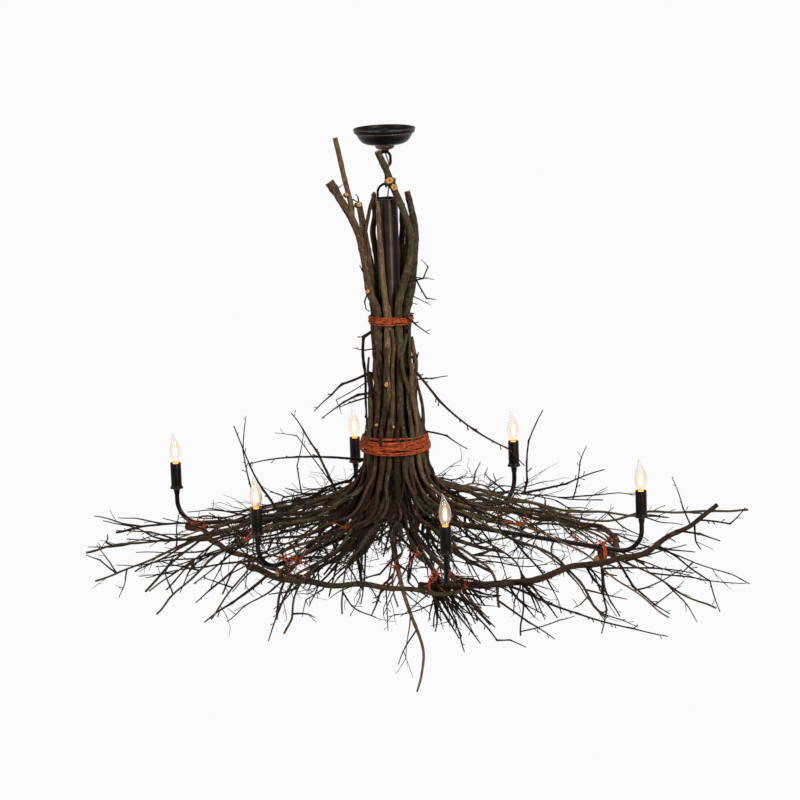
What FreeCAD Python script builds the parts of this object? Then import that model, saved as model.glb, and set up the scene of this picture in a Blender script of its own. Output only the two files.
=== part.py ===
# Branch chandelier: a bundle of cut sticks bound round a bronze stem, with six candle arms under a
# skirt of twigs, hung from a ceiling canopy by one chain link. Millimetres, +Z up, origin in the
# middle of the canopy's rim, on the ceiling plane. The front is towards -Y.
import FreeCAD, Part
import math
import os
import random
import re
import Sketcher

from FreeCAD import Placement, Rotation, Vector

os.makedirs("parts", exist_ok=True)
doc = FreeCAD.newDocument("branch_chandelier")
nodes = []

DRIVING_DIMENSIONS = [
    ("canopy_diameter", 125),
    ("canopy_drop", 32),
    ("canopy_wall", 1.2),
    ("collar_diameter", 39),
    ("collar_drop", 10),
    ("loop_head_diameter", 16),
    ("nipple_diameter", 9.6),
    ("nipple_bore", 6.6),
    ("nipple_length", 40.5),
    ("locknut_flats", 14),
    ("locknut_height", 3),
    ("strap_level", 8),
    ("strap_length", 100),
    ("strap_width", 20),
    ("strap_thickness", 2.5),
    ("strap_slot_spacing", 80),
    ("strap_slot_length", 12),
    ("strap_slot_width", 5),
    ("loop_rod", 5.5),
    ("loop_width", 26.3),
    ("loop_low", 80),
    ("link_rod", 5),
    ("link_width", 23),
    ("link_play", 0.3),
    ("hoop_rod", 5),
    ("hoop_apex", 111.5),
    ("stem_diameter", 43.5),
    ("stem_wall", 1.5),
    ("stem_top", 140),
    ("stem_bottom", 781),
    ("screw_diameter", 3.2),
    ("screw_head_diameter", 7),
    ("screw_head_height", 1.8),
    ("screw_depth", 12),
    ("hub_flat", 18),
    ("hub_length", 22),
    ("arm_diameter", 9.5),
    ("arm_drop", 42),
    ("arm_bend", 46),
    ("arm_seat", 16),
    ("flange_level", 759),
    ("flange_diameter", 27.5),
    ("cup_height", 24),
    ("sleeve_diameter", 22.5),
    ("sleeve_wall", 1.2),
    ("sleeve_height", 50),
    ("socket_diameter", 17),
    ("socket_bore", 12.6),
    ("socket_height", 46),
    ("base_diameter", 11.8),
    ("base_length", 20),
    ("bulb_diameter", 24.6),
    ("bulb_height", 66),
    ("supply_wire_diameter", 2.8),
    ("binding_wire", 4),
    ("binding_pitch", 4.9),
    ("upper_binding_radius", 43.6),
    ("upper_binding_middle", 385),
    ("upper_binding_turns", 4),
    ("lower_binding_radius", 70.8),
    ("lower_binding_middle", 646),
    ("lower_binding_turns", 6),
]
ALIASES = [alias for alias, value in DRIVING_DIMENSIONS]

sheet = doc.addObject("Spreadsheet::Sheet", "dimensions")
for row, (alias, value) in enumerate(DRIVING_DIMENSIONS, start=1):
    sheet.set("A%d" % row, alias)
    sheet.set("B%d" % row, str(value))
    sheet.setAlias("B%d" % row, alias)
doc.recompute()


def bound(expression):
    """The expression with every sheet alias in it written with the sheet's name."""
    def full(found):
        word = found.group(0)
        return "dimensions." + word if word in ALIASES else word

    return re.sub(r"[a-z_]+", full, expression)


def size(expression):
    """The value of an expression of sheet aliases."""
    value = sheet.evalExpression(expression)
    return float(getattr(value, "Value", value))


HUB_LEVEL = -size("stem_bottom + hub_length / 2")
ARM_LEVEL = HUB_LEVEL - size("arm_drop")
FLANGE_LEVEL = -size("flange_level")

# How many flat sides stand for round in the dish, in the tubes and in the small metal.
DISH_SIDES = 28
TUBE_SIDES = 16
SLEEVE_SIDES = 12
SMALL_SIDES = 10
ROD_SIDES = 6
ARM_SIDES = 10
BEND_STEPS = 4

# The candles: each one's distance from the stem's axis, and its bearing from +X, anticlockwise from above.
CANDLES = [(501, 156), (374, 222), (474, 281), (528, 336), (395, 51), (412, 102)]


def polar(radius, bearing, height):
    """The point at a distance and a bearing in degrees from the stem's axis."""
    angle = math.radians(bearing)
    return Vector(radius * math.cos(angle), radius * math.sin(angle), height)


def at_height(height):
    return Placement(Vector(0, 0, height), Rotation())


def at_candle(radius, bearing, height):
    return Placement(polar(radius, bearing, height), Rotation(Vector(0, 0, 1), bearing))


# ------------------------------------------------------------------------------ turned metal

def new_sketch(body, name, role="XZ_Plane"):
    """A sketch on one of a body's own origin planes."""
    sketch = body.newObject("Sketcher::SketchObject", name)
    plane = [feature for feature in body.Origin.OriginFeatures if feature.Role == role][0]
    sketch.AttachmentSupport = (plane, "")
    sketch.MapMode = "FlatFace"
    return sketch


def stack(label, rings, sides):
    """A solid flat-sided form: a regular polygon at each (radius, height), joined by flat faces."""
    sections = []
    for number, (radius, height) in enumerate(rings, start=1):
        polygon = doc.addObject("Part::RegularPolygon", "%s_ring_%d" % (label, number))
        polygon.Polygon = sides
        polygon.setExpression("Circumradius", bound(radius))
        polygon.setExpression("Placement.Base.z", bound(height))
        sections.append(polygon)
    loft = doc.addObject("Part::Loft", label)
    loft.Sections = sections
    loft.Solid = True
    loft.Ruled = True
    return loft


def hollow_stack(label, outside, hollows, sides, level):
    """A stack less one or more others inside it, at a level of its own."""
    form = stack(label + "_outside", outside, sides)
    for number, hollow in enumerate(hollows, start=1):
        last = number == len(hollows)
        cut = doc.addObject("Part::Cut", label if last else "%s_cut_%d" % (label, number))
        cut.Base = form
        cut.Tool = stack("%s_hollow_%d" % (label, number), hollow, sides)
        form = cut
    form.Placement = at_height(level)
    doc.recompute()
    nodes.append(form)
    return form


def pocket(body, label, sketch):
    """Cut a sketch's outlines right through a body, both ways from the sketch."""
    cut = body.newObject("PartDesign::Pocket", label)
    cut.Profile = sketch
    cut.Type = "ThroughAll"
    cut.Midplane = True
    doc.recompute()
    return cut


def canopy_dish():
    """The open dish against the ceiling: flat lip, step and rounded bowl."""
    outer, drop = size("canopy_diameter / 2"), size("canopy_drop")
    wall, bore = size("canopy_wall"), size("nipple_diameter / 2 + 0.3")
    outline = [
        (bore, 0), (outer - 33, 0), (outer - 16, 5), (outer - 6.5, drop - 9), (outer - 3, drop - 7),
        (outer, drop - 2), (outer, drop), (outer - 2, drop), (outer - 8, drop - 8),
        (outer - 17, 5 + wall), (outer - 33.5, wall), (bore, wall),
    ]
    dish = add_node("canopy_dish", faceted(outline, DISH_SIDES))
    dish.Placement = at_height(-drop)


def faceted(outline, sides):
    """The solid that a closed outline of (radius, height) makes round the axis, with flat sides for round."""
    rings = []
    for radius, height in outline:
        rings.append([polar(radius, 360 * side / sides, height) for side in range(sides)])
    return solid_of(side_faces(rings, closed=True)).removeSplitter()


def mounting_strap():
    """The flat bar that screws to the outlet box, with a slot near each end."""
    strap = doc.addObject("PartDesign::Body", "mounting_strap")
    sketch = new_sketch(strap, "strap_plan", "XY_Plane")
    half_length, half_width = "strap_length / 2", "strap_width / 2"
    corners = [(1, 1), (-1, 1), (-1, -1), (1, -1)]
    places = [Vector(x * size(half_length), y * size(half_width), 0) for x, y in corners]
    for start, end in zip(places, places[1:] + places[:1]):
        sketch.addGeometry(Part.LineSegment(start, end), False)
    for line in range(4):
        sketch.addConstraint(Sketcher.Constraint("Coincident", line, 2, (line + 1) % 4, 1))
        direction = "Horizontal" if line % 2 == 0 else "Vertical"
        sketch.addConstraint(Sketcher.Constraint(direction, line))
    sketch.addConstraint(Sketcher.Constraint("Symmetric", 0, 1, 1, 2, -1, 1))
    width = sketch.addConstraint(Sketcher.Constraint("DistanceX", 0, 2, 0, 1, size("strap_length")))
    sketch.setExpression("Constraints[%d]" % width, bound("strap_length"))
    depth = sketch.addConstraint(Sketcher.Constraint("DistanceY", 1, 2, 1, 1, size("strap_width")))
    sketch.setExpression("Constraints[%d]" % depth, bound("strap_width"))
    pad = strap.newObject("PartDesign::Pad", "strap_plate")
    pad.Profile = sketch
    pad.setExpression("Length", bound("strap_thickness"))
    holes = new_sketch(strap, "strap_holes", "XY_Plane")
    centre = holes.addGeometry(Part.Circle(Vector(), Vector(0, 0, 1), size("nipple_diameter / 2")), False)
    holes.addConstraint(Sketcher.Constraint("Coincident", centre, 3, -1, 1))
    radius = holes.addConstraint(Sketcher.Constraint("Radius", centre, size("nipple_diameter / 2 + 0.05")))
    holes.setExpression("Constraints[%d]" % radius, bound("nipple_diameter / 2 + 0.05"))
    for side in (1, -1):
        slot(holes, side)
    pocket(strap, "strap_openings", holes)
    strap.Placement = at_height(-size("strap_level"))
    nodes.append(strap)


def slot(sketch, side):
    """One round-ended slot along X, its middle half the slot spacing from the middle of the strap."""
    middle = side * size("strap_slot_spacing / 2")
    reach = size("(strap_slot_length - strap_slot_width) / 2")
    radius = size("strap_slot_width / 2")
    up = Vector(0, 0, 1)
    right = Part.ArcOfCircle(Part.Circle(Vector(middle + reach, 0, 0), up, radius), -math.pi / 2, math.pi / 2)
    left = Part.ArcOfCircle(Part.Circle(Vector(middle - reach, 0, 0), up, radius), math.pi / 2, 1.5 * math.pi)
    top = Part.LineSegment(Vector(middle + reach, radius, 0), Vector(middle - reach, radius, 0))
    bottom = Part.LineSegment(Vector(middle - reach, -radius, 0), Vector(middle + reach, -radius, 0))
    right, top, left, bottom = [sketch.addGeometry(piece, False) for piece in (right, top, left, bottom)]
    for first, second in ((right, top), (top, left), (left, bottom), (bottom, right)):
        sketch.addConstraint(Sketcher.Constraint("Tangent", first, 2, second, 1))
    sketch.addConstraint(Sketcher.Constraint("PointOnObject", right, 3, -1))
    sketch.addConstraint(Sketcher.Constraint("PointOnObject", left, 3, -1))
    rounding = sketch.addConstraint(Sketcher.Constraint("Radius", right, radius))
    sketch.setExpression("Constraints[%d]" % rounding, bound("strap_slot_width / 2"))
    far, near = (right, left) if side > 0 else (left, right)
    for arc, sign in ((far, "+"), (near, "-")):
        expression = "strap_slot_spacing / 2 %s (strap_slot_length - strap_slot_width) / 2" % sign
        ends = (-1, 1, arc, 3) if side > 0 else (arc, 3, -1, 1)
        index = sketch.addConstraint(Sketcher.Constraint("DistanceX", *ends, size(expression)))
        sketch.setExpression("Constraints[%d]" % index, bound(expression))


def ceiling_fittings():
    """The nipple that joins strap, canopy and loop, its two locknuts, and the ring nut under the canopy."""
    nipple_radius = "nipple_diameter / 2"
    hollow_stack(
        "threaded_nipple",
        [(nipple_radius, "0"), (nipple_radius, "nipple_length")],
        [[("nipple_bore / 2", "0"), ("nipple_bore / 2", "nipple_length")]],
        SMALL_SIDES,
        -size("canopy_drop + collar_drop"),
    )
    radius, drop, eye = size("collar_diameter / 2"), size("collar_drop"), size("loop_head_diameter / 2 + 0.1")
    outline = [(eye, 0), (radius - 6, 0), (radius, drop / 2), (radius, drop), (eye, drop)]
    collar = add_node("screw_collar", faceted(outline, 24))
    collar.Placement = at_height(-size("canopy_drop + collar_drop"))
    nuts = []
    for level in (-size("strap_level + locknut_height"), -size("strap_level - strap_thickness")):
        nut = prism(size("locknut_flats / 2") / math.cos(math.pi / 6), size("locknut_height"), level, 6)
        nuts.append(nut.cut(prism(size("nipple_diameter / 2 + 0.05"), size("locknut_height"), level)))
    add_node("locknuts", Part.Compound(nuts))


def prism(radius, height, level, sides=SMALL_SIDES):
    """An upright prism on the axis, from a level upwards."""
    corners = [polar(radius, 360 * corner / sides, level) for corner in range(sides + 1)]
    return Part.Face(Part.makePolygon(corners)).extrude(Vector(0, 0, height))


def add_node(label, shape):
    """A sub-part with a shape made by Part's own functions."""
    node = doc.addObject("Part::Feature", label)
    node.Shape = shape
    nodes.append(node)
    return node


# ------------------------------------------------------------- flat-sided rods, sticks and lofts

def solid_of(faces):
    """The solid inside closed flat faces."""
    solid = Part.makeSolid(Part.makeShell(faces))
    return solid if solid.Volume > 0 else solid.reversed()


def side_faces(rings, closed=False):
    """The four-cornered faces between each ring of points and the next."""
    faces = []
    following = rings[1:] + rings[:1] if closed else rings[1:]
    for ring, other in zip(rings, following):
        for corner in range(len(ring)):
            beside = (corner + 1) % len(ring)
            outline = [ring[corner], ring[beside], other[beside], other[corner], ring[corner]]
            faces.append(Part.Face(Part.makePolygon(outline)))
    return faces


def rod_ring(centre, outward, across, radius, sides, stretch=1.0):
    """A ring of points round a rod's centre line: outward is stretched where the rod is mitred."""
    ring = []
    for side in range(sides):
        angle = 2 * math.pi * (side + 0.5) / sides
        offset = outward * (radius * stretch * math.cos(angle)) + across * (radius * math.sin(angle))
        ring.append(centre + offset)
    return ring


def closed_rod(points, across, radius, sides):
    """A rod along a closed flat loop of points, mitred at each; across is the loop's normal."""
    rings = []
    count = len(points)
    for index, point in enumerate(points):
        ahead = (points[(index + 1) % count] - point).normalize()
        behind = (point - points[index - 1]).normalize()
        along = (ahead + behind).normalize()
        outward = along.cross(across)
        rings.append(rod_ring(point, outward, across, radius, sides, 1 / along.dot(ahead)))
    return solid_of(side_faces(rings, closed=True))


def first_ring(centre, direction, radius, sides, turn):
    """A regular ring of points square to a direction."""
    helper = Vector(0, 0, 1) if abs(direction.z) < 0.8 else Vector(1, 0, 0)
    across = direction.cross(helper).normalize()
    up = across.cross(direction)
    ring = []
    for side in range(sides):
        angle = 2 * math.pi * side / sides + turn
        ring.append(centre + across * (radius * math.cos(angle)) + up * (radius * math.sin(angle)))
    return ring


def tapered_rod(points, radii, sides, turn=0.4):
    """A flat-sided rod along points, mitred at each.

    Between two points the rod's edges run towards one apex on its centre line, so that its sides stay flat
    while it tapers from one radius to the next.
    """
    directions = [(end - start).normalize() for start, end in zip(points, points[1:])]
    rings = [first_ring(points[0], directions[0], radii[0], sides, turn)]
    for index, direction in enumerate(directions):
        end = points[index + 1]
        following = directions[min(index + 1, len(directions) - 1)]
        square = (direction + following).normalize()
        length = (end - points[index]).Length
        taper = 1 - radii[index + 1] / radii[index]
        ring = []
        for corner in rings[-1]:
            edge = direction
            if abs(taper) > 0.001:
                edge = points[index] + direction * (length / taper) - corner
            ring.append(corner + edge * (square.dot(end - corner) / square.dot(edge)))
        rings.append(ring)
    faces = side_faces(rings)
    faces.append(Part.Face(Part.makePolygon(rings[0] + rings[0][:1])))
    faces.append(Part.Face(Part.makePolygon(rings[-1] + rings[-1][:1])))
    return solid_of(faces)


def oval_loop(width, top, bottom, turned_to_side=False):
    """The corners of an upright oval of a rod's centre line, between two heights, with half-round ends."""
    radius = width / 2
    points = []
    for middle, first in ((top - radius, 0), (bottom + radius, 180)):
        for step in range(9):
            angle = math.radians(first + 22.5 * step)
            across = radius * math.cos(angle)
            height = middle + radius * math.sin(angle)
            points.append(Vector(0, across, height) if turned_to_side else Vector(across, 0, height))
    return points


def canopy_loop():
    """The cast loop under the canopy: a bored head on the nipple, and the eye that holds the link."""
    rod = size("loop_rod / 2")
    head_top = -size("canopy_drop")
    head_bottom = head_top - 18
    eye = oval_loop(size("loop_width - loop_rod"), head_bottom + rod, -size("loop_low") + rod)
    ring = closed_rod(eye, Vector(0, 1, 0), rod, ROD_SIDES)
    head = prism(size("loop_head_diameter / 2"), head_top - head_bottom, head_bottom)
    thread = prism(size("nipple_diameter / 2 + 0.05"), size("collar_drop"), head_top - size("collar_drop"))
    bore = prism(size("nipple_bore / 2"), 24, head_bottom - 6)
    add_node("canopy_loop", head.fuse(ring).cut(thread.fuse(bore)).removeSplitter())


def link_levels():
    """The heights of the link's centre line where it hangs in the loop and where it carries the hoop."""
    play = size("(loop_rod + link_rod) / 2 + link_play")
    top = -size("loop_low - loop_rod / 2") + play
    bottom = -size("hoop_apex + (hoop_rod + link_rod) / 2 + link_play")
    return top, bottom


def chain_link():
    top, bottom = link_levels()
    points = oval_loop(size("link_width - link_rod"), top, bottom, turned_to_side=True)
    add_node("chain_link", closed_rod(points, Vector(-1, 0, 0), size("link_rod / 2"), ROD_SIDES))


def bail_hoop():
    """The hoop over the stem's mouth: two legs down inside the tube, joined by a half round."""
    rod = size("hoop_rod / 2")
    leg = size("stem_diameter / 2 - stem_wall - hoop_rod / 2 - 0.3")
    apex = -size("hoop_apex")
    points = [Vector(leg, 0, -size("stem_top + screw_depth + 14"))]
    for step in range(9):
        angle = math.radians(22.5 * step)
        points.append(Vector(leg * math.cos(angle), 0, apex - leg + leg * math.sin(angle)))
    points.append(Vector(-leg, 0, points[0].z))
    add_node("bail_hoop", tapered_rod(points, [rod] * len(points), ROD_SIDES, 0))


# ------------------------------------------------------------------------- stem, hub and arms

def stem_tube():
    """The tube that everything hangs from, with a hole each side for the screws into the hoop."""
    outer, wall = "stem_diameter / 2", "stem_diameter / 2 - stem_wall"
    length = "stem_bottom - stem_top"
    across = doc.addObject("Part::Prism", "hoop_screw_bore")
    across.Polygon = 8
    across.setExpression("Circumradius", bound("screw_diameter / 2"))
    across.setExpression("Height", bound("stem_diameter * 2"))
    across.Placement.Rotation = Rotation(Vector(0, 1, 0), 90)
    across.setExpression("Placement.Base.x", bound("-stem_diameter"))
    across.setExpression("Placement.Base.z", bound(length + " - screw_depth"))
    outside, inside = [(outer, "0"), (outer, length)], [(wall, "0"), (wall, length)]
    tube = hollow_stack("stem_wall_tube", outside, [inside], TUBE_SIDES, 0)
    nodes.remove(tube)
    stem = doc.addObject("Part::Cut", "stem_tube")
    stem.Base = tube
    stem.Tool = across
    stem.Placement = at_height(-size("stem_bottom"))
    nodes.append(stem)
    screws = []
    for side in (1, -1):
        outward = Vector(side, 0, 0)
        inner = Vector(side * size("stem_diameter / 2 - stem_wall - 0.3"), 0, -size("stem_top + screw_depth"))
        seat = Vector(side * size("stem_diameter / 2"), 0, inner.z)
        shank = tapered_rod([inner, seat], [size("screw_diameter / 2")] * 2, 8, 0)
        head_end = seat + outward * size("screw_head_height")
        head = tapered_rod([seat, head_end], [size("screw_head_diameter / 2")] * 2, 8, 0)
        screws.append(shank.fuse(head).removeSplitter())
    add_node("hoop_screws", Part.Compound(screws))


def hub_body():
    """The block under the stem: one flat for each arm, and a plug that fills the tube's end."""
    flat = size("hub_flat")
    bottom = HUB_LEVEL - size("hub_length / 2")
    corners = []
    bearings = sorted(bearing for reach, bearing in CANDLES)
    for bearing, following in zip(bearings, bearings[1:] + [bearings[0] + 360]):
        half = (following - bearing) / 2
        corners.append(polar(flat / math.cos(math.radians(half)), bearing + half, bottom))
    block = Part.Face(Part.makePolygon(corners + corners[:1])).extrude(Vector(0, 0, size("hub_length")))
    inside = size("stem_diameter / 2 - stem_wall - 0.1")
    plug = prism(inside, 12, -size("stem_bottom"), TUBE_SIDES)
    add_node("hub_body", block.fuse(plug).removeSplitter())


def arm_line(reach):
    """An arm's centre line as (distance, height): off the hub, out and down, round the bend, up."""
    start, hub = size("hub_flat"), HUB_LEVEL
    bend, low = size("arm_bend"), ARM_LEVEL
    middle = (reach - bend, low + bend)
    slant = math.atan2(middle[1] - hub, middle[0] - start) - math.asin(bend / math.dist(middle, (start, hub)))
    line = [(start, hub)]
    for step in range(BEND_STEPS + 1):
        angle = slant - math.pi / 2 + (math.pi / 2 - slant) * step / BEND_STEPS
        line.append((middle[0] + bend * math.cos(angle), middle[1] + bend * math.sin(angle)))
    line.append((reach, FLANGE_LEVEL - size("cup_height - arm_seat")))
    return line


def arm(number, reach, bearing):
    """One arm, its inner end trimmed to its flat on the hub."""
    radius = size("arm_diameter / 2")
    line = arm_line(reach)
    slope = (line[1][1] - line[0][1]) / (line[1][0] - line[0][0])
    line[0] = (line[0][0] - 4, line[0][1] - 4 * slope)
    points = [Vector(distance, 0, height) for distance, height in line]
    tube = tapered_rod(points, [radius] * len(points), ARM_SIDES, math.pi / ARM_SIDES)
    flat = size("hub_flat")
    trim = Part.makeBox(flat, 40, 60, Vector(0, -20, HUB_LEVEL - 30))
    node = add_node("arm_%d" % number, tube.cut(trim))
    node.Placement = at_candle(0, bearing, 0)


def copies(label, master, level):
    """One node of the same piece at every candle, as separate solids."""
    nodes.remove(master)
    pieces = []
    for reach, bearing in CANDLES:
        piece = master.Shape.copy()
        piece.Placement = at_candle(reach, bearing, level)
        pieces.append(piece)
    add_node(label, Part.Compound(pieces))


def candles():
    """Cups on the arms' ends, sockets and sleeves on the cups, and a bulb in each socket."""
    flange, height = size("flange_diameter / 2"), size("cup_height")
    neck = size("arm_diameter / 2")
    seat = (neck + 0.05) / math.cos(math.pi / SMALL_SIDES)
    outline = [
        (0.4, height), (0.4, size("arm_seat")), (seat, size("arm_seat")), (seat, 0),
        (neck + 1.6, 0), (neck + 3, height - 10), (flange, height - 3), (flange, height),
    ]
    cup = add_node("cup_form", faceted(outline, SMALL_SIDES))
    socket = hollow_stack("socket_form", [
        ("socket_diameter / 2", "0"),
        ("socket_diameter / 2", "socket_height"),
    ], [[
        ("socket_bore / 2", "socket_height - base_length - 6"),
        ("socket_bore / 2", "socket_height"),
    ]], SMALL_SIDES, 0)
    sleeve = hollow_stack("sleeve_form", [
        ("sleeve_diameter / 2", "0"),
        ("sleeve_diameter / 2", "sleeve_height"),
    ], [[
        ("sleeve_diameter / 2 - sleeve_wall", "0"),
        ("sleeve_diameter / 2 - sleeve_wall", "sleeve_height"),
    ]], SLEEVE_SIDES, 0)
    copies("cups", cup, FLANGE_LEVEL - size("cup_height"))
    copies("lamp_sockets", socket, FLANGE_LEVEL)
    copies("candle_sleeves", sleeve, FLANGE_LEVEL)
    # Each pair is a share of the bulb's height and of its largest radius.
    outline = [(0, 0.46), (0.08, 0.5), (0.22, 0.86), (0.38, 1), (0.56, 0.88), (0.78, 0.45), (1, 0.07)]
    glass_level = FLANGE_LEVEL + size("socket_height") + 1
    height, widest = size("bulb_height"), size("bulb_diameter / 2")
    for number, (reach, bearing) in enumerate(CANDLES, start=1):
        foot = polar(reach, bearing, glass_level)
        centres = []
        for share, width in outline:
            lean = 4 * max(0, share - 0.5) ** 2 * widest / 3
            centres.append(foot + Vector(-lean, 0, share * height))
        radii = [width * widest for share, width in outline]
        add_node("bulb_glass_%d" % number, tapered_rod(centres, radii, SMALL_SIDES))
        base = [foot - Vector(0, 0, size("base_length")), foot]
        add_node("bulb_base_%d" % number, tapered_rod(base, [size("base_diameter / 2")] * 2, SMALL_SIDES))


# ------------------------------------------------------------------------------ supply wire

# The wire's route, chosen by hand: out of the loop's head, through the eye, past the link and the hoop
# on the front right, and down into the stem.
WIRE_IN_LOOP = [
    (0, 0, -44), (1.2, -0.2, -53), (5, -1.6, -62), (6.4, -5.6, -71), (6.2, -8.6, -81), (6, -9, -91.7),
]
WIRE_IN_STEM = [
    (6, -9, -92.3), (5.8, -8.9, -103), (5.2, -8, -114), (4, -5.5, -125), (2.4, -3, -136), (1.5, -2, -148),
]


def wire_path(route):
    """Straight runs joined by tangent arcs, each arc as large as its two runs allow."""
    points = [Vector(*place) for place in route]
    edges, radii = [], []
    here = points[0]
    for before, corner, after in zip(points, points[1:], points[2:]):
        incoming, outgoing = corner - before, after - corner
        setback = 0.45 * min(incoming.Length, outgoing.Length)
        incoming, outgoing = incoming.normalize(), outgoing.normalize()
        half_turn = incoming.getAngle(outgoing) / 2
        radius = setback / math.tan(half_turn)
        start, end = corner - incoming * setback, corner + outgoing * setback
        inward = (outgoing - incoming).normalize()
        middle = corner + inward * (radius / math.cos(half_turn) - radius)
        edges.append(Part.LineSegment(here, start).toShape())
        edges.append(Part.Arc(start, middle, end).toShape())
        radii.append(round(radius, 1))
        here = end
    edges.append(Part.LineSegment(here, points[-1]).toShape())
    return Part.Wire(edges), radii


def swept(path, start, direction, sides, radius):
    """A tube of a flat-sided section along a path of lines and arcs, in the pipe's default mode."""
    ring = first_ring(start, direction, radius, sides, math.pi / sides)
    return Part.Wire(path.Edges).makePipeShell([Part.makePolygon(ring + ring[:1])], True, False)


def supply_wires():
    """The lead in two pieces, one from the canopy to the link's middle and one from there into the stem."""
    for label, route in (("supply_wire_upper", WIRE_IN_LOOP), ("supply_wire_lower", WIRE_IN_STEM)):
        path, radii = wire_path(route)
        start = Vector(*route[0])
        direction = (Vector(*route[1]) - start).normalize()
        add_node(label, swept(path, start, direction, 5, size("supply_wire_diameter / 2")))
        print(label, "length %.1f, radii" % path.Length, radii)


# ---------------------------------------------------------------------------- wire bindings

def arc_middle(start, direction, end):
    """The middle of the arc that leaves a point in a direction and goes to another point."""
    chord = end - start
    sideways = direction - chord * (direction.dot(chord) / chord.dot(chord))
    bulge = math.tan(direction.getAngle(chord) / 2) * chord.Length / 2
    return (start + end) / 2 + sideways.normalize() * bulge


def biarc(start, direction, end, end_direction):
    """Two tangent arcs between two points with given directions."""
    chord = end - start
    total = direction + end_direction
    along = chord.dot(total)
    share = 2 * (1 - direction.dot(end_direction))
    reach = (math.sqrt(along * along + share * chord.dot(chord)) - along) / share
    joint = (start + end + (direction - end_direction) * reach) / 2
    first = Part.Arc(start, arc_middle(start, direction, joint), joint)
    second = Part.Arc(joint, arc_middle(end, end_direction * -1, joint), end)
    return [first.toShape(), second.toShape()]


def winding(radius, middle, turns, bearing):
    """One strand wound round the bundle, with a straight end of one strand's thickness each side."""
    pitch, strand = size("binding_pitch"), size("binding_wire")
    quarters = 4 * turns
    places, directions = [], []
    for quarter in range(quarters + 1):
        angle = bearing + 90 * quarter
        places.append(polar(radius, angle, middle + pitch * (quarter / 4 - turns / 2)))
        climb = pitch / (2 * math.pi * radius)
        directions.append((polar(1, angle + 90, climb)).normalize())
    edges = [Part.LineSegment(places[0] - directions[0] * strand, places[0]).toShape()]
    for index in range(quarters):
        edges += biarc(places[index], directions[index], places[index + 1], directions[index + 1])
    edges.append(Part.LineSegment(places[-1], places[-1] + directions[-1] * strand).toShape())
    start = places[0] - directions[0] * strand
    edges = Part.sortEdges(edges)[0]
    tube = swept(Part.Wire(edges), start, directions[0], 3, strand / math.sqrt(3))
    samples = []
    for edge in edges:
        samples += edge.discretize(5)[:-1]
    least = strand * 10
    for index, point in enumerate(samples):
        for other in samples[index + 24:]:
            least = min(least, (point - other).Length)
    return tube, least - strand


def tie(ring):
    """A wrap of strand where a stick is lashed to an arm, on a ring of points in one plane."""
    points = [Vector(*point) for point in ring]
    across = (points[1] - points[0]).cross(points[2] - points[1]).normalize()
    return closed_rod(points, across * -1, TIE_RADIUS, 4)


# ------------------------------------------------------------------------------------- wood
#
# Every stick is a list of points with a radius at each, all in one frame. The sticks of the bundle come from
# their places in the two bindings and spread below the lower one; the large crooked ones, the lashed
# ones and the long twigs are laid by hand. No stick is kept unless it clears everything laid before it.

CELL = 60.0
GAP = 0.9
TIE_RADIUS = 1.6


def gap_between(a, b, c, d):
    """The shortest distance between the line segments a to b and c to d."""
    ux, uy, uz = b[0] - a[0], b[1] - a[1], b[2] - a[2]
    vx, vy, vz = d[0] - c[0], d[1] - c[1], d[2] - c[2]
    wx, wy, wz = a[0] - c[0], a[1] - c[1], a[2] - c[2]
    uu = ux * ux + uy * uy + uz * uz
    uv = ux * vx + uy * vy + uz * vz
    vv = vx * vx + vy * vy + vz * vz
    uw = ux * wx + uy * wy + uz * wz
    vw = vx * wx + vy * wy + vz * wz
    slack = uu * vv - uv * uv
    share = (uv * vw - vv * uw) / slack if slack > 1e-9 * uu * vv else 0.0
    share = min(max(share, 0.0), 1.0)
    other = (vw + share * uv) / vv
    if other < 0.0:
        other = 0.0
        share = min(max(-uw / uu, 0.0), 1.0)
    elif other > 1.0:
        other = 1.0
        share = min(max((uv - uw) / uu, 0.0), 1.0)
    x = wx + share * ux - other * vx
    y = wy + share * uy - other * vy
    z = wz + share * uz - other * vz
    return math.sqrt(x * x + y * y + z * z)


class Room:
    """Everything laid so far, as capsules sorted into cells, so that a new stick can be kept clear of it."""

    def __init__(self):
        self.cells = {}

    def cells_of(self, a, b, reach):
        spans = []
        for axis in range(3):
            low = math.floor((min(a[axis], b[axis]) - reach) / CELL)
            high = math.floor((max(a[axis], b[axis]) + reach) / CELL)
            spans.append(range(low, high + 1))
        return [(i, j, k) for i in spans[0] for j in spans[1] for k in spans[2]]

    def add(self, owner, points, radii):
        for index in range(len(points) - 1):
            radius = max(radii[index], radii[index + 1])
            capsule = (owner, points[index], points[index + 1], radius)
            for cell in self.cells_of(points[index], points[index + 1], radius):
                self.cells.setdefault(cell, []).append(capsule)

    def least(self, points, radii, ignored=None):
        """The least gap between a stick and all that is laid, and what it is nearest to."""
        least, nearest = 50.0, None
        for index in range(len(points) - 1):
            start, end = points[index], points[index + 1]
            radius = max(radii[index], radii[index + 1])
            seen = set()
            for cell in self.cells_of(start, end, radius + 2):
                for capsule in self.cells.get(cell, ()):
                    if id(capsule) in seen or capsule[0] == ignored:
                        continue
                    seen.add(id(capsule))
                    gap = gap_between(start, end, capsule[1], capsule[2]) - capsule[3] - radius
                    if gap < least:
                        least, nearest = gap, capsule[0]
                        if least < -2:
                            return least, nearest
        return least, nearest


def around(radius, bearing, height):
    """polar() as three plain numbers."""
    angle = math.radians(bearing)
    return (radius * math.cos(angle), radius * math.sin(angle), height)


def bearing_of(point):
    return math.degrees(math.atan2(point[1], point[0])) % 360


def turn_between(first, second):
    """The turn in degrees from one bearing to another, within half a circle."""
    return (second - first + 180) % 360 - 180


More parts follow.
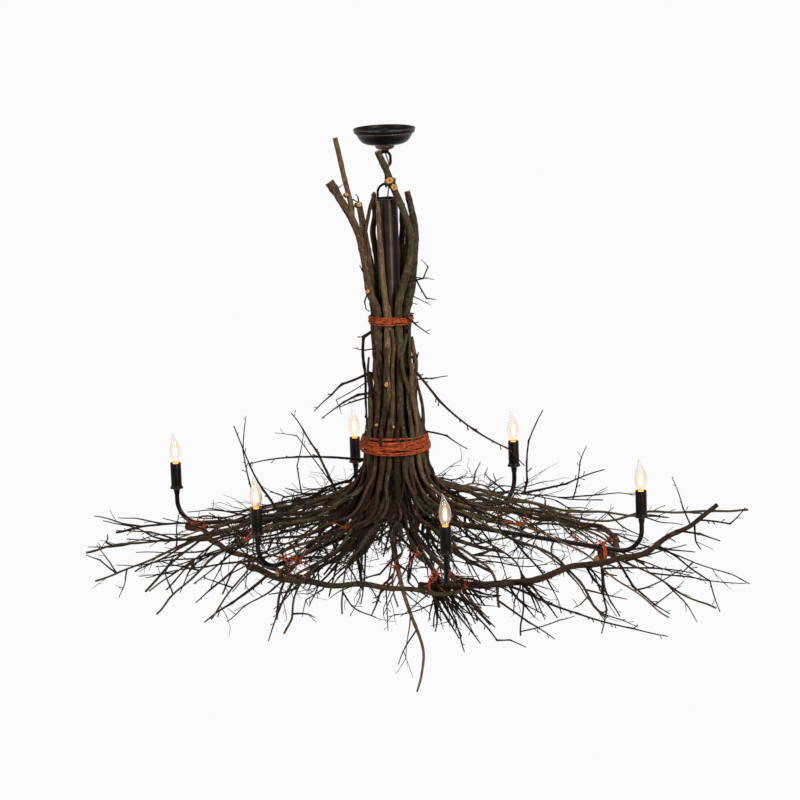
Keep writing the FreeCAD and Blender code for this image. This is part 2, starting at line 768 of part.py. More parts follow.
# The levels and sizes of the metal and the bindings that the sticks keep clear of.
UPPER_LEVEL = -size("upper_binding_middle")
LOWER_LEVEL = -size("lower_binding_middle")
STEM_RADIUS = size("stem_diameter / 2")
HUB_BOTTOM = -size("stem_bottom + hub_length")
ARM_LOW = ARM_LEVEL
ARM_RADIUS = size("arm_diameter / 2")
ARM_BEND = size("arm_bend")
HUB_MIDDLE = HUB_LEVEL
CANDLE_TOP = -575.0
BULB_ROOM = 19.0


def metal_room(room):
    """The stem, arms, candles and bindings, as capsules."""
    room.add("stem", [(0, 0, -128), (0, 0, HUB_BOTTOM)], [STEM_RADIUS, STEM_RADIUS])
    room.add("canopy", [(0, 0, 40), (0, 0, 20)], [62, 62])
    for reach, bearing in CANDLES:
        low = around(reach - ARM_BEND, bearing, ARM_LOW)
        bend = around(reach - ARM_BEND * 0.3, bearing, ARM_LOW + ARM_BEND * 0.3)
        upright = around(reach, bearing, ARM_LOW + ARM_BEND)
        points = [around(10, bearing, HUB_MIDDLE), low, bend, upright]
        room.add("arm", points, [ARM_RADIUS + 0.3] * 4)
        candle = [around(reach, bearing, -775), around(reach, bearing, CANDLE_TOP)]
        room.add("candle", candle, [BULB_ROOM] * 2)
    for radius, level, half in ((47.7, UPPER_LEVEL, 11), (75.1, LOWER_LEVEL, 16)):
        for height in (level - half + 3, level, level + half - 3):
            ring = [around(radius, 24 * step, height) for step in range(16)]
            room.add("binding", ring, [6.2] * 16)


# The two leaders and the other sticks of the inner ring, by the bearing of their place in the bindings.
INNER_RADIUS = 32.4

LEADER_LEFT = [(-40, -30, -330), (-46, -29, -285), (-51, -28, -249), (-60, -27, -205), (-75, -26, -163),
               (-95, -26, -129), (-113, -26, -101)]
LEADER_LEFT_LIMB = [(-70, -27, -172), (-72, -28, -140), (-85, -30, -77), (-98, -32, -12)]
LEADER_RIGHT = [(17, -32.5, -345), (31, -32, -304), (44, -32, -262), (46, -32, -215), (35, -33, -171),
                (21, -34, -134), (8, -35, -101), (-4, -36, -66), (-15, -37, -41)]
# Each other inner stick: the bearing of its place, points above the upper binding, top radius, and the
# bearing, reach and height of its tip under the hub.
INNER_STICKS = [
    (256, [(-10, -31.5, -330), (-13, -31, -280), (-15, -31, -216), (-18.5, -31, -143)], 5.2,
     (266, 272, -1072)),
    (190, [(-37, -8, -324), (-46, -10, -266), (-47, -13, -211), (-36, -18, -170), (-24, -24, -124)], 5,
     (190, 205, -905)),
    (345, [(43, -9, -316), (55, -9, -246), (55, -9, -199), (48, -9, -159), (41, -9, -127)], 7,
     (356, 190, -915)),
    (20, [(35, 14, -320), (40, 17, -240), (44, 18, -180)], 6.5, (20, 230, -895)),
    (52, [(22, 28, -320), (27, 33, -250), (30, 40, -205)], 6, (72, 170, -925)),
    (88, [(1, 34, -320), (-1, 37, -230), (2, 42, -168)], 6, (88, 240, -900)),
    (121, [(-18, 30, -320), (-22, 36, -260), (-30, 44, -215)], 6, (128, 180, -930)),
    (155, [(-33, 15, -320), (-42, 20, -240), (-56, 26, -152)], 6.5, (181, 210, -905)),
]
LEFT_END = (240, 260, -1010)
RIGHT_END = (306, 300, -965)

# The hand-laid ends of sticks of the skirt: x, y, z.
LONG_ENDS = [
    (-625, -60, -888), (-637, 25, -857), (-582, 120, -832), (-505, -170, -885), (-386, -330, -915),
    (-250, -390, -905), (-120, -420, -890), (60, -400, -925), (240, -350, -965), (400, -330, -945),
    (520, -300, -950), (640, -150, -965), (700, -80, -938), (705, 45, -812), (560, 130, -850),
    (430, 320, -850), (230, 440, -850), (40, 470, -840), (-190, 450, -850), (-430, 300, -850),
]
# Slender sticks lashed round the rim from arm to arm: their points and the radius at the first.
EDGE_STICKS = [
    ("edge_stick_left", [(-440, 205, -846), (-402, 160, -850), (-364, 40, -851), (-300, -80, -852),
                         (-235, -205, -850), (-190, -262, -848)], 7.5),
    ("edge_stick_front_left", [(-300, -188, -842), (-240, -262, -848), (-116, -330, -850), (0, -398, -847),
                               (70, -434, -847), (118, -452, -843)], 8),
    ("edge_stick_front_right", [(38, -372, -848), (96, -394, -848), (195, -368, -851), (316, -292, -850),
                                (432, -206, -848), (516, -150, -838), (566, -104, -822), (592, -82, -812),
                                (645, -62, -778)], 9),
    ("edge_stick_back_right", [(392, -206, -847), (440, -110, -849), (430, 20, -846), (345, 150, -849),
                               (226, 246, -847), (196, 280, -845)], 7.5),
    ("edge_stick_back", [(270, 238, -849), (220, 284, -848), (100, 335, -851), (-76, 372, -848),
                         (-128, 372, -845)], 7),
    ("edge_stick_back_left", [(-36, 316, -848), (-80, 325, -848), (-190, 322, -852), (-320, 262, -856),
                              (-392, 212, -864), (-440, 190, -868)], 7),
]
# Long twigs that show against the background; each grows from the nearest stick of the skirt.
LONG_TWIGS = [
    [(-253, 60, -768), (-274, 80, -746), (-299, 90, -697), (-329, 100, -614)],
    [(-142, 60, -712), (-159, 90, -674), (-186, 110, -633), (-211, 120, -595)],
    [(278, 180, -800), (272, 200, -774), (278, 220, -692), (310, 230, -629)],
    [(261, 180, -806), (355, 220, -786), (436, 250, -765)],
    [(44, -50, -478), (91, -66, -543), (159, -84, -602), (227, -95, -641), (258, -100, -676)],
    [(-50, -45, -488), (-102, -64, -503), (-123, -66, -523), (-160, -70, -555)],
    [(-48, -52, -520), (-71, -64, -526), (-100, -74, -538), (-145, -76, -569)],
    [(-90, 30, -668), (-201, 60, -675), (-300, 70, -688)],
    [(396, -190, -850), (402, -200, -910), (410, -205, -952), (398, -205, -1001)],
    [(416, -150, -862), (466, -160, -917), (508, -170, -954), (538, -170, -974)],
    [(195, -330, -872), (285, -340, -899), (345, -345, -922), (453, -350, -955), (522, -340, -976)],
    [(-215, -255, -830), (-240, -300, -905), (-262, -330, -960)],
    [(44, -38, -312), (68, -44, -298), (78, -50, -274), (64, -52, -258)],
]

# The two outer rings of the bundle: how many sticks, their radius from the axis at the lower binding, a
# stick's own radius, the highest and lowest tops, and the outline of the skirt as (reach, height).
LAYERS = [
    (25, 60.9, 6.7, -432, -600,
     [(60.9, -672), (76, -712), (122, -746), (195, -771), (292, -794), (395, -822)]),
    (18, 46.9, 6.6, -520, -612,
     [(46.9, -674), (54, -724), (92, -772), (165, -793), (262, -812), (370, -834)]),
]
# A stick's radius at the last four points of that outline, as shares of its radius in the binding.
TAPER = (0.88, 0.76, 0.64, 0.54)


def spread(bearing):
    """The bearing a stick leaves at, drawn towards the left and right of the skirt."""
    return bearing - 15 * math.sin(math.radians(2 * bearing))


def lay(room, sticks, owner, node, points, radii, sides):
    """Keep a stick and the room it takes."""
    room.add(owner, points, radii)
    stick = {"name": owner, "node": node, "points": points, "radii": radii, "sides": sides, "twigs": []}
    sticks.append(stick)
    return stick


def taper(start, end, count):
    """Radii from start to end over a number of points."""
    return [start + (end - start) * index / (count - 1) for index in range(count)]


def inner_stick(room, sticks, dice, name, node, place, above, top_radius, end):
    """One stick of the inner ring: hand-laid above the upper binding, hanging between the arms below."""
    bearing, reach, height = end
    held = [around(INNER_RADIUS, place, level) for level in (UPPER_LEVEL + 18, UPPER_LEVEL - 20)]
    held += [around(31.6, place, level) for level in (LOWER_LEVEL + 22, LOWER_LEVEL - 26)]
    below_radii = [7.3, 6.8, 6.2, 4.4, 2.6]
    below = None
    for trial in range(400):
        wander = min(trial / 40, 9)
        side = place + turn_between(place, bearing) * 0.3 + dice.uniform(-wander, wander)
        far = bearing + dice.uniform(-wander, wander) * 2
        halfway = side + turn_between(side, far) / 2
        route = [around(33 + dice.uniform(0, 3), side, -734), around(44 + dice.uniform(0, 8), side, -775)]
        route.append(around(70 + dice.uniform(0, 16), halfway, -826))
        route.append(around(reach * 0.62, far, -826 + (height + 826) * dice.uniform(0.42, 0.6)))
        route.append(around(reach, far, height))
        if room.least(held[-1:] + route, [7.6] + below_radii)[0] > GAP:
            below = route
            break
    if below is None:
        print("no way down for", name)
        below, below_radii = [around(33, place, -725)], below_radii[:1]
    points = above[::-1] + held + below
    radii = taper(top_radius, 8.0, len(above)) + [8.1, 8.1, 8.0, 7.8] + below_radii
    gap, nearest = room.least(points, radii)
    if gap < -0.1:
        print("%s stands %.1f from %s" % (name, gap, nearest))
    return lay(room, sticks, name, node, points, radii, 6)


def sector(bearing):
    names = ["skirt_right", "skirt_back_right", "skirt_back_left"]
    names += ["skirt_left", "skirt_front_left", "skirt_front_right"]
    return names[int(((bearing + 30) % 360) // 60)]


def skirt_stick(room, sticks, dice, name, place, layer, end):
    """One stick of an outer ring: up beside the inner ring, out over the arms and down to its tip."""
    count, radius, thick, highest, lowest, outline = layer
    for trial in range(260):
        wander = 1 + trial / 16
        thick_here = thick * (1 - 0.3 * min(1, trial / 160)) * dice.uniform(0.88, 1)
        top = dice.uniform(lowest, highest) if trial < 200 else lowest - 8
        inward = 11 * max(0, (top - LOWER_LEVEL - 60) / 200)
        far = spread(place) if end is None else bearing_of(end)
        turn = turn_between(place, far)
        points = [around(radius - inward, place, top), around(radius, place, LOWER_LEVEL + 26)]
        if top > LOWER_LEVEL + 120:
            middle = (top + LOWER_LEVEL + 26) / 2
            points.insert(1, around(radius - inward * 0.45, place + dice.uniform(-2, 2), middle))
        shares = [0.0, 0.12, 0.4, 0.75, 1.0, 1.0]
        for (reach, height), share in zip(outline, shares):
            loose = wander * min(1, max(0, reach - 70) / 200)
            side = place + turn * share + dice.uniform(-1, 1) * loose * 60 / reach
            out = reach + dice.uniform(-1, 1) * loose
            points.append(around(out, side, height + dice.uniform(-0.7, 1) * loose))
        if end is None:
            side_pull = abs(math.cos(math.radians(far)))
            reach = dice.uniform(400, 500) + 110 * side_pull * dice.random()
            drop = dice.uniform(10, 70) + (reach - 400) * 0.28
            tip = around(reach, far + dice.uniform(-7, 7), outline[-1][1] - drop)
        else:
            tip = (end[0] + dice.uniform(-1, 1) * wander, end[1] + dice.uniform(-1, 1) * wander, end[2])
        last = points[-1]
        if math.dist(last, tip) > 160:
            bow = dice.uniform(-6, 12)
            points.append(tuple((a + b) / 2 for a, b in zip(last, tip))[:2] + ((last[2] + tip[2]) / 2 + bow,))
        points.append(tip)
        tip_radius = dice.uniform(1.6, 3.4)
        radii = [thick_here] * (len(points) - len(TAPER) - 2) + [thick_here * share for share in TAPER]
        radii += [max(tip_radius, thick_here * 0.42), tip_radius]
        if room.least(points, radii)[0] > GAP:
            return lay(room, sticks, name, sector(far % 360), points, radii, 5)
    return None


def grow_twig(room, parent, dice, position, length, thick, levels=2):
    """A twig from a place on a parent stick: out and to one side, with a kink; False if there is no room."""
    points = parent["points"]
    index = min(int(position), len(points) - 2)
    share = position - index
    start = tuple(a + (b - a) * share for a, b in zip(points[index], points[index + 1]))
    along = [b - a for a, b in zip(points[index], points[index + 1])]
    size_here = math.sqrt(sum(value * value for value in along))
    along = [value / size_here for value in along]
    parent_radius = parent["radii"][index] * (1 - share) + parent["radii"][index + 1] * share
    thick = min(thick, parent_radius * 0.75)
    for trial in range(14):
        heading = [value * dice.uniform(0.5, 1) + dice.uniform(-0.8, 0.8) for value in along]
        heading[2] += dice.uniform(-0.35, 0.35)
        norm = math.sqrt(sum(value * value for value in heading))
        if norm < 0.2:
            continue
        route = [start]
        for step in range(levels):
            heading = [value / norm + dice.uniform(-0.22, 0.22) for value in heading]
            norm = math.sqrt(sum(value * value for value in heading))
            reach = length / levels * dice.uniform(0.85, 1.15)
            route.append(tuple(a + value / norm * reach for a, value in zip(route[-1], heading)))
        if max(math.dist((0, 0), point[:2]) for point in route) > 640:
            continue
        radii = taper(thick, thick * 0.45, len(route))
        if room.least(route, radii, parent["name"])[0] > GAP:
            room.add(parent["name"], route, radii)
            parent["twigs"].append({"points": route, "radii": radii, "sides": 3})
            return True
    return False


def nearest_stick(sticks, point):
    """The stick whose centre line passes nearest a point, and where on it."""
    best = (1e9, None, None)
    for stick in sticks:
        for a, b in zip(stick["points"], stick["points"][1:]):
            run = [q - p for p, q in zip(a, b)]
            share = sum((w - p) * r for w, p, r in zip(point, a, run)) / sum(r * r for r in run)
            share = min(max(share, 0.0), 1.0)
            place = tuple(p + r * share for p, r in zip(a, run))
            gap = math.dist(point, place)
            if gap < best[0]:
                best = (gap, stick, place)
    return best


def grow_wood():
    """All the sticks, each with its twigs, and the rings of points of the wraps that lash the rim."""
    dice = random.Random(11)
    room = Room()
    metal_room(room)
    sticks = []
    for node, points, thick in EDGE_STICKS:
        radii = taper(thick, thick * 0.55, len(points))
        gap, nearest = room.least(points, radii)
        if gap < 0.2:
            print("%s stands %.1f from %s" % (node, gap, nearest))
        lay(room, sticks, node, node, points, radii, 6)
    ties = tie_rings(sticks)
    for ring in ties:
        room.add("tie", ring + ring[:1], [TIE_RADIUS] * (len(ring) + 1))
    left = inner_stick(room, sticks, dice, "leader_left", "leader_left", 222, LEADER_LEFT, 8.6, LEFT_END)
    left["twigs"].append({"points": LEADER_LEFT_LIMB, "radii": [6.2, 6.2, 6, 5.6], "sides": 6})
    room.add("leader_left", LEADER_LEFT_LIMB, [6.2, 6.2, 6, 5.6])
    inner_stick(room, sticks, dice, "leader_right", "leader_right", 297, LEADER_RIGHT, 8.2, RIGHT_END)
    for number, (place, above, top_radius, end) in enumerate(INNER_STICKS, start=1):
        name = "trunk_stick_%d" % number
        inner_stick(room, sticks, dice, name, "trunk_sticks", place, above, top_radius, end)
    outer_rings(room, sticks, dice)
    for route in LONG_TWIGS:
        gap, parent, place = nearest_stick(sticks, route[0])
        points = [place] + route[1:]
        radii = taper(3.4, 1.3, len(points))
        least, nearest = room.least(points, radii, parent["name"])
        if least < GAP:
            print("long twig at", route[0], "stands %.1f from %s" % (least, nearest))
        room.add(parent["name"], points, radii)
        parent["twigs"].append({"points": points, "radii": radii, "sides": 4})
    for stick in sticks:
        last = len(stick["points"]) - 1
        places = [last - 1.35, last - 0.6] if stick["name"].startswith("skirt") else [last - 0.7]
        for place in places:
            position = place + dice.uniform(-0.25, 0.2)
            grow_twig(room, stick, dice, position, dice.uniform(80, 200), dice.uniform(1.8, 2.8))
    twigs = sum(len(stick["twigs"]) for stick in sticks)
    print(len(sticks), "sticks with", twigs, "twigs")
    return sticks, ties


def outer_rings(room, sticks, dice):
    """The two outer rings of the bundle, each stick led to the hand-laid end nearest its bearing, if any."""
    ends = list(LONG_ENDS)
    for depth, layer in enumerate(LAYERS, start=1):
        count = layer[0]
        reach = 9 if depth == 1 else 12
        for number in range(count):
            place = 360 / count * (number + 0.5 * (depth - 1))
            near = [end for end in ends if abs(turn_between(spread(place), bearing_of(end))) < reach]
            name = "skirt_stick_%d_%d" % (depth, number + 1)
            if near and skirt_stick(room, sticks, dice, name, place, layer, near[0]):
                ends.remove(near[0])
            elif not skirt_stick(room, sticks, dice, name, place, layer, None):
                print("no room for", name)
    if ends:
        print("ends left over:", ends)


def stick_solid(stick):
    """A stick and its twigs as one solid."""
    def rod(piece, number):
        points = [Vector(*point) for point in piece["points"]]
        return tapered_rod(points, piece["radii"], piece["sides"], 0.4 + number)

    solid = rod(stick, 0)
    for number, twig in enumerate(stick["twigs"], start=1):
        solid = solid.fuse(rod(twig, number))
    return solid


def tie_rings(sticks):
    """A ring of points round stick and arm at each place where a stick of the rim passes under an arm."""
    rings = []
    for stick in sticks:
        for reach, bearing in CANDLES:
            inner, outer = around(10, bearing, HUB_MIDDLE), around(reach - ARM_BEND, bearing, ARM_LOW)
            for index in range(len(stick["points"]) - 1):
                a, b = stick["points"][index:index + 2]
                place = crossing(inner, outer, a, b)
                if place:
                    rings.append(tie_ring(inner, outer, a, b, place, stick["radii"][index]))
    return rings


def crossing(inner, outer, a, b):
    """How far along an arm and along a stick they cross, seen from above, or None."""
    ux, uy = outer[0] - inner[0], outer[1] - inner[1]
    vx, vy = b[0] - a[0], b[1] - a[1]
    wx, wy = a[0] - inner[0], a[1] - inner[1]
    slack = ux * vy - uy * vx
    on_arm = (wx * vy - wy * vx) / slack
    on_stick = (wx * uy - wy * ux) / slack
    if 0 <= on_arm <= 1 and 0 <= on_stick < 1:
        return on_arm, on_stick
    return None


def tie_ring(inner, outer, a, b, place, thick):
    """An upright oval of points round an arm and the stick under it, in a plane slanting across both."""
    x, y, arm_height = [p + (q - p) * place[0] for p, q in zip(inner, outer)]
    stick_height = a[2] + (b[2] - a[2]) * place[1]
    top, bottom = arm_height + ARM_RADIUS + 2.4, stick_height - thick - 2.4
    arm_way = math.atan2(outer[1] - inner[1], outer[0] - inner[0])
    stick_way = math.atan2(b[1] - a[1], b[0] - a[0])
    slant = (arm_way + stick_way) / 2 + math.pi / 2
    half = (thick + 1.8) / abs(math.sin((stick_way - arm_way) / 2)) + 1.5
    ring = []
    for step in range(8):
        angle = math.pi * (step + 0.5) / 4
        across = half * math.cos(angle) / math.cos(math.pi / 8)
        rise = (top - bottom) / 2 * math.sin(angle) / math.cos(math.pi / 8)
        ring.append((x + across * math.cos(slant), y + across * math.sin(slant), (top + bottom) / 2 + rise))
    return ring


def wood_nodes(sticks):
    """Each node's sticks as separate solids."""
    for node in sorted({stick["node"] for stick in sticks}):
        solids = [stick_solid(stick) for stick in sticks if stick["node"] == node]
        add_node(node, Part.Compound(solids) if len(solids) > 1 else solids[0])


def bindings(ties):
    """The two windings round the bundle and the wraps on the rim, all of the same rusty strand."""
    solids = []
    for place in ("upper", "lower"):
        radius, middle = size(place + "_binding_radius"), -size(place + "_binding_middle")
        tube, least = winding(radius, middle, int(size(place + "_binding_turns")), 285)
        print(place, "binding: least gap between turns %.2f" % least)
        solids.append(tube)
    solids += [tie(ring) for ring in ties]
    add_node("wire_bindings", Part.Compound(solids))


def write_parts():
    """Check everything in the document and write each sub-part to its own file."""
    doc.recompute()
    for thing in doc.Objects:
        if "Invalid" in thing.State or "Error" in thing.State:
            raise RuntimeError("%s is in state %s" % (thing.Name, thing.State))
    for node in nodes:
        if node.Shape.isNull() or not node.Shape.isValid():
            raise RuntimeError("%s has no valid shape" % node.Label)
        node.Shape.exportStep("parts/%s.step" % node.Label)


canopy_dish()
mounting_strap()
ceiling_fittings()
canopy_loop()
chain_link()
bail_hoop()
stem_tube()
hub_body()
for number, (reach, bearing) in enumerate(CANDLES, start=1):
    arm(number, reach, bearing)
candles()
supply_wires()
wood, ties = grow_wood()
wood_nodes(wood)
bindings(ties)
write_parts()
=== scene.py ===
# Looks for the branch chandelier: bark and cut wood grown along the same sticks as the solids, dark bronze
# metal, lit candle bulbs and rusty bindings. The scene is in metres, +Z up; sizes and places below are in
# millimetres in the solids' frame, unless a comment says otherwise.
import itertools
import math
import random

import bpy
import numpy as np
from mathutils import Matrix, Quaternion, Vector


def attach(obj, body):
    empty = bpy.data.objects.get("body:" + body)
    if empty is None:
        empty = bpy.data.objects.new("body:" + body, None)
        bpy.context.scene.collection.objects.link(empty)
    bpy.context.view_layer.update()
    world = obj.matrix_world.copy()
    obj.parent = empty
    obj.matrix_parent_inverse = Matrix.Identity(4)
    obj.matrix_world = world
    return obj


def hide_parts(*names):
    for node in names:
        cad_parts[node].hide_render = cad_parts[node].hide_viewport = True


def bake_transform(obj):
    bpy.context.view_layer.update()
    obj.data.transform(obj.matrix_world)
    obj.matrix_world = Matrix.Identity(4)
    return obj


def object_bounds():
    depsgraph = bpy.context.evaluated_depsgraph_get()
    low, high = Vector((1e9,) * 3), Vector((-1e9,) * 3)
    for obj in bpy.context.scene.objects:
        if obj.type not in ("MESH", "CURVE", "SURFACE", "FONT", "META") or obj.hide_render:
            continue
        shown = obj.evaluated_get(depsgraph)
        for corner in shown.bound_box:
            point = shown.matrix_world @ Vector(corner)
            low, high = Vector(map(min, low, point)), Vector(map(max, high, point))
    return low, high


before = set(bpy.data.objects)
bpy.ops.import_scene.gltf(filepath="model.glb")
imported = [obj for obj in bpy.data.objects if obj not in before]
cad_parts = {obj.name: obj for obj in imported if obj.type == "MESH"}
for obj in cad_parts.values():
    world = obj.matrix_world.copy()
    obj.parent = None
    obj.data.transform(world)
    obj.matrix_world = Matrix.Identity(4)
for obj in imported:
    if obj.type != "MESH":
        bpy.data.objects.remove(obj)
cad_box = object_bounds()

MM = 0.001

# What these pieces share with the solids. Each candle has a distance from the stem's axis and a bearing from
# +X, anticlockwise from above.
CANDLES = [(501, 156), (374, 222), (474, 281), (528, 336), (395, 51), (412, 102)]
UPPER_LEVEL = -385.0
LOWER_LEVEL = -646.0
STEM_RADIUS = 21.75
STEM_WALL = 1.5
STEM_TOP = -140.0
STEM_BOTTOM = -781.0
HUB_FLAT = 18.0
HUB_MIDDLE = -792.0
HUB_BOTTOM = -803.0
ARM_LOW = -834.0
ARM_RADIUS = 4.75
ARM_BEND = 46.0
ARM_SEAT = 16.0
FLANGE_LEVEL = -759.0
CUP_HEIGHT = 24.0
SLEEVE_HEIGHT = 50.0
SOCKET_HEIGHT = 46.0
CANDLE_TOP = -575.0
BULB_ROOM = 19.0
BULB_FOOT = FLANGE_LEVEL + SOCKET_HEIGHT + 1
BULB_RADIUS = 12.3
BULB_HEIGHT = 66.0
SUPPLY_WIRE_RADIUS = 1.4
# Millimetres that a pixel of the picture covers at the stem's axis.
PIXEL = 2.03

# The photograph's camera: its place, how far its line of sight goes ahead and down, its roll in degrees, its
# focal length in pixels and the pixel its line of sight meets.
CAMERA_BACK = 7932.5
CAMERA_HEIGHT = 1012.7
AHEAD, DOWN = 0.97595, 0.21798
CAMERA_ROLL = 2.0
FOCAL_PIXELS = 4000
AXIS_PIXEL = (397.1, 500.1)

WORLD_STRENGTH = 0.12
FLOOR_LEVEL = -2300.0
FLOOR_HALF = 40000.0
FLOOR_GREY = 0.6
FLOOR_WHITENESS = 0.9


# ------------------------------------------------------------------------------ camera and light

def add_to_scene(name, data):
    thing = bpy.data.objects.new(name, data)
    bpy.context.scene.collection.objects.link(thing)
    return thing


def aim(thing, target, roll=0.0):
    """Turn a camera or lamp to face a target, rolled about its own line of sight."""
    facing = (Vector(target) - thing.location).to_track_quat("-Z", "Y")
    thing.rotation_mode = "QUATERNION"
    thing.rotation_quaternion = facing @ Quaternion((0, 0, 1), math.radians(roll))


def add_camera():
    """The photograph's camera; its shifts frame the object as the picture does."""
    lens = bpy.data.cameras.new("camera")
    lens.lens = 180
    lens.sensor_width = 36
    lens.shift_x = 0.0036
    lens.shift_y = 0.125
    lens.clip_end = 200
    camera = add_to_scene("camera", lens)
    camera.location = (0, -CAMERA_BACK * MM, CAMERA_HEIGHT * MM)
    aim(camera, (0, 0, FLANGE_LEVEL * MM), -CAMERA_ROLL)
    bpy.context.scene.camera = camera


def add_sun(name, place, strength, spread_angle):
    """A lamp in the direction of place (metres) with soft edges; the angle is in degrees."""
    light = bpy.data.lights.new(name, "SUN")
    light.energy = strength
    light.angle = math.radians(spread_angle)
    lamp = add_to_scene(name, light)
    lamp.location = place
    aim(lamp, (0, 0, -0.7))


# ------------------------------------------------------------------------------ material tools

class Nodes:
    """The node tree of a material or world, with short calls to add nodes and join them."""

    def __init__(self, owner, output="ShaderNodeOutputMaterial"):
        owner.use_nodes = True
        self.owner = owner
        self.tree = owner.node_tree
        self.tree.nodes.clear()
        self.output = self.add(output)

    def add(self, kind, **values):
        node = self.tree.nodes.new(kind)
        for key, value in values.items():
            setattr(node, key, value)
        return node

    def feed(self, socket, value):
        """Join a socket to another, or set it to a number or a colour."""
        if isinstance(value, bpy.types.NodeSocket):
            self.tree.links.new(value, socket)
        else:
            socket.default_value = (*value, 1) if isinstance(value, tuple) else value

    def place(self):
        """The object's own coordinates."""
        return self.add("ShaderNodeTexCoord").outputs["Object"]

    def along(self):
        """The uv that runs along a stick, a wire or a bulb."""
        return self.add("ShaderNodeUVMap", uv_map="along").outputs["UV"]

    def along_height(self):
        """Only the v of that uv."""
        uv = self.along()
        split = self.add("ShaderNodeSeparateXYZ")
        self.feed(split.inputs["Vector"], uv)
        return split.outputs["Y"]

    def noise(self, coordinates, scale, detail=4.0, roughness=0.6, distortion=0.0):
        node = self.add("ShaderNodeTexNoise")
        for name, value in (
                ("Scale", scale), ("Detail", detail), ("Roughness", roughness), ("Distortion", distortion),
                ("Vector", coordinates)):
            self.feed(node.inputs[name], value)
        return node.outputs["Fac"]

    def scaled(self, coordinates, scale):
        node = self.add("ShaderNodeMapping")
        node.inputs["Scale"].default_value = scale
        self.feed(node.inputs["Vector"], coordinates)
        return node.outputs["Vector"]

    def ramp(self, value, *stops):
        """A colour ramp of (position, colour or grey) stops."""
        node = self.add("ShaderNodeValToRGB")
        ramp = node.color_ramp
        while len(ramp.elements) < len(stops):
            ramp.elements.new(0.5)
        for element, (position, color) in zip(ramp.elements, stops):
            element.position = position
            element.color = (*color, 1) if isinstance(color, tuple) else (color, color, color, 1)
        self.feed(node.inputs["Fac"], value)
        return node.outputs["Color"]

    def mix(self, share, first, second, blend="MIX"):
        """A mix of two colours, each a socket or plain numbers, by a socket or a number."""
        node = self.add("ShaderNodeMix", data_type="RGBA", blend_type=blend)
        for index, value in ((0, share), (6, first), (7, second)):
            self.feed(node.inputs[index], value)
        return node.outputs[2]

    def math(self, operation, first, second=0.0):
        node = self.add("ShaderNodeMath", operation=operation)
        self.feed(node.inputs[0], first)
        self.feed(node.inputs[1], second)
        return node.outputs[0]

    def bump(self, height, strength, distance):
        node = self.add("ShaderNodeBump")
        for name, value in (("Strength", strength), ("Distance", distance), ("Height", height)):
            self.feed(node.inputs[name], value)
        return node.outputs["Normal"]

    def seen(self):
        """1 on rays from the camera, off gloss and through glass, and 0 on all others."""
        path = self.add("ShaderNodeLightPath")
        seen = self.math("MAXIMUM", path.outputs["Is Camera Ray"], path.outputs["Is Glossy Ray"])
        return self.math("MAXIMUM", seen, path.outputs["Is Transmission Ray"])

    def light(self, kind, color, strength=1.0):
        """An emission or background shader."""
        node = self.add(kind)
        self.feed(node.inputs["Color"], color)
        self.feed(node.inputs["Strength"], strength)
        return node.outputs[0]

    def either(self, share, first, second):
        """A mix of two shaders."""
        node = self.add("ShaderNodeMixShader")
        for index, value in enumerate((share, first, second)):
            self.feed(node.inputs[index], value)
        return node.outputs[0]

    def finish(self, shader):
        """Join a shader to the output; the finished material or world."""
        self.feed(self.output.inputs["Surface"], shader)
        return self.owner

    def surface(self, color, roughness, **values):
        """The material with a Principled shader; values are its sockets, with spaces as underscores."""
        shader = self.add("ShaderNodeBsdfPrincipled")
        for key, value in {"Base_Color": color, "Roughness": roughness, **values}.items():
            self.feed(shader.inputs[key.replace("_", " ")], value)
        return self.finish(shader.outputs["BSDF"])


def new_material(name):
    return Nodes(bpy.data.materials.new(name))


# ------------------------------------------------------------------------------ materials

def bark(name, dark, middle, light, lichen):
    """Bark: streaks along the stick, cross lenticels, patches of lichen, and a tone of each stick's own."""
    n = new_material(name)
    along = n.along()
    tone = n.add("ShaderNodeAttribute", attribute_name="tone").outputs["Fac"]
    streaks = n.noise(n.scaled(along, (9, 70, 1)), 1.0, 6, 0.7, 0.2)
    fine = n.noise(n.scaled(along, (26, 260, 1)), 1.0, 5, 0.7)
    rings = n.noise(n.scaled(along, (1.2, 420, 1)), 1.0, 2, 0.5)
    patches = n.noise(n.place(), 26, 4, 0.6)
    color = n.ramp(streaks, (0.2, dark), (0.5, middle), (0.86, light))
    color = n.mix(n.ramp(patches, (0.5, 0), (0.72, 0.62)), color, lichen)
    speckle = n.ramp(fine, (0.36, (0.36, 0.34, 0.32)), (0.6, (1.4, 1.37, 1.32)))
    color = n.mix(0.9, color, speckle, "MULTIPLY")
    lenticels = n.ramp(rings, (0.64, 0), (0.72, 0.55))
    color = n.mix(lenticels, color, light)
    tint = n.ramp(
        tone, (0.0, (0.36, 0.27, 0.22)), (0.18, (0.8, 0.56, 0.42)), (0.36, (0.62, 0.58, 0.46)),
        (0.5, (0.95, 0.92, 0.66)), (0.66, (1.25, 0.98, 0.78)), (1.0, (2.0, 1.65, 1.2)))
    color = n.mix(1.0, color, tint, "MULTIPLY")
    height = n.math("ADD", n.math("MULTIPLY", streaks, 0.6), n.math("MULTIPLY", fine, 0.4))
    height = n.math("ADD", height, n.math("MULTIPLY", rings, 0.25))
    roughness = n.ramp(fine, (0.3, 0.62), (0.7, 0.9))
    return n.surface(color, roughness, Normal=n.bump(height, 0.9, 0.0018), Specular_IOR_Level=0.08)


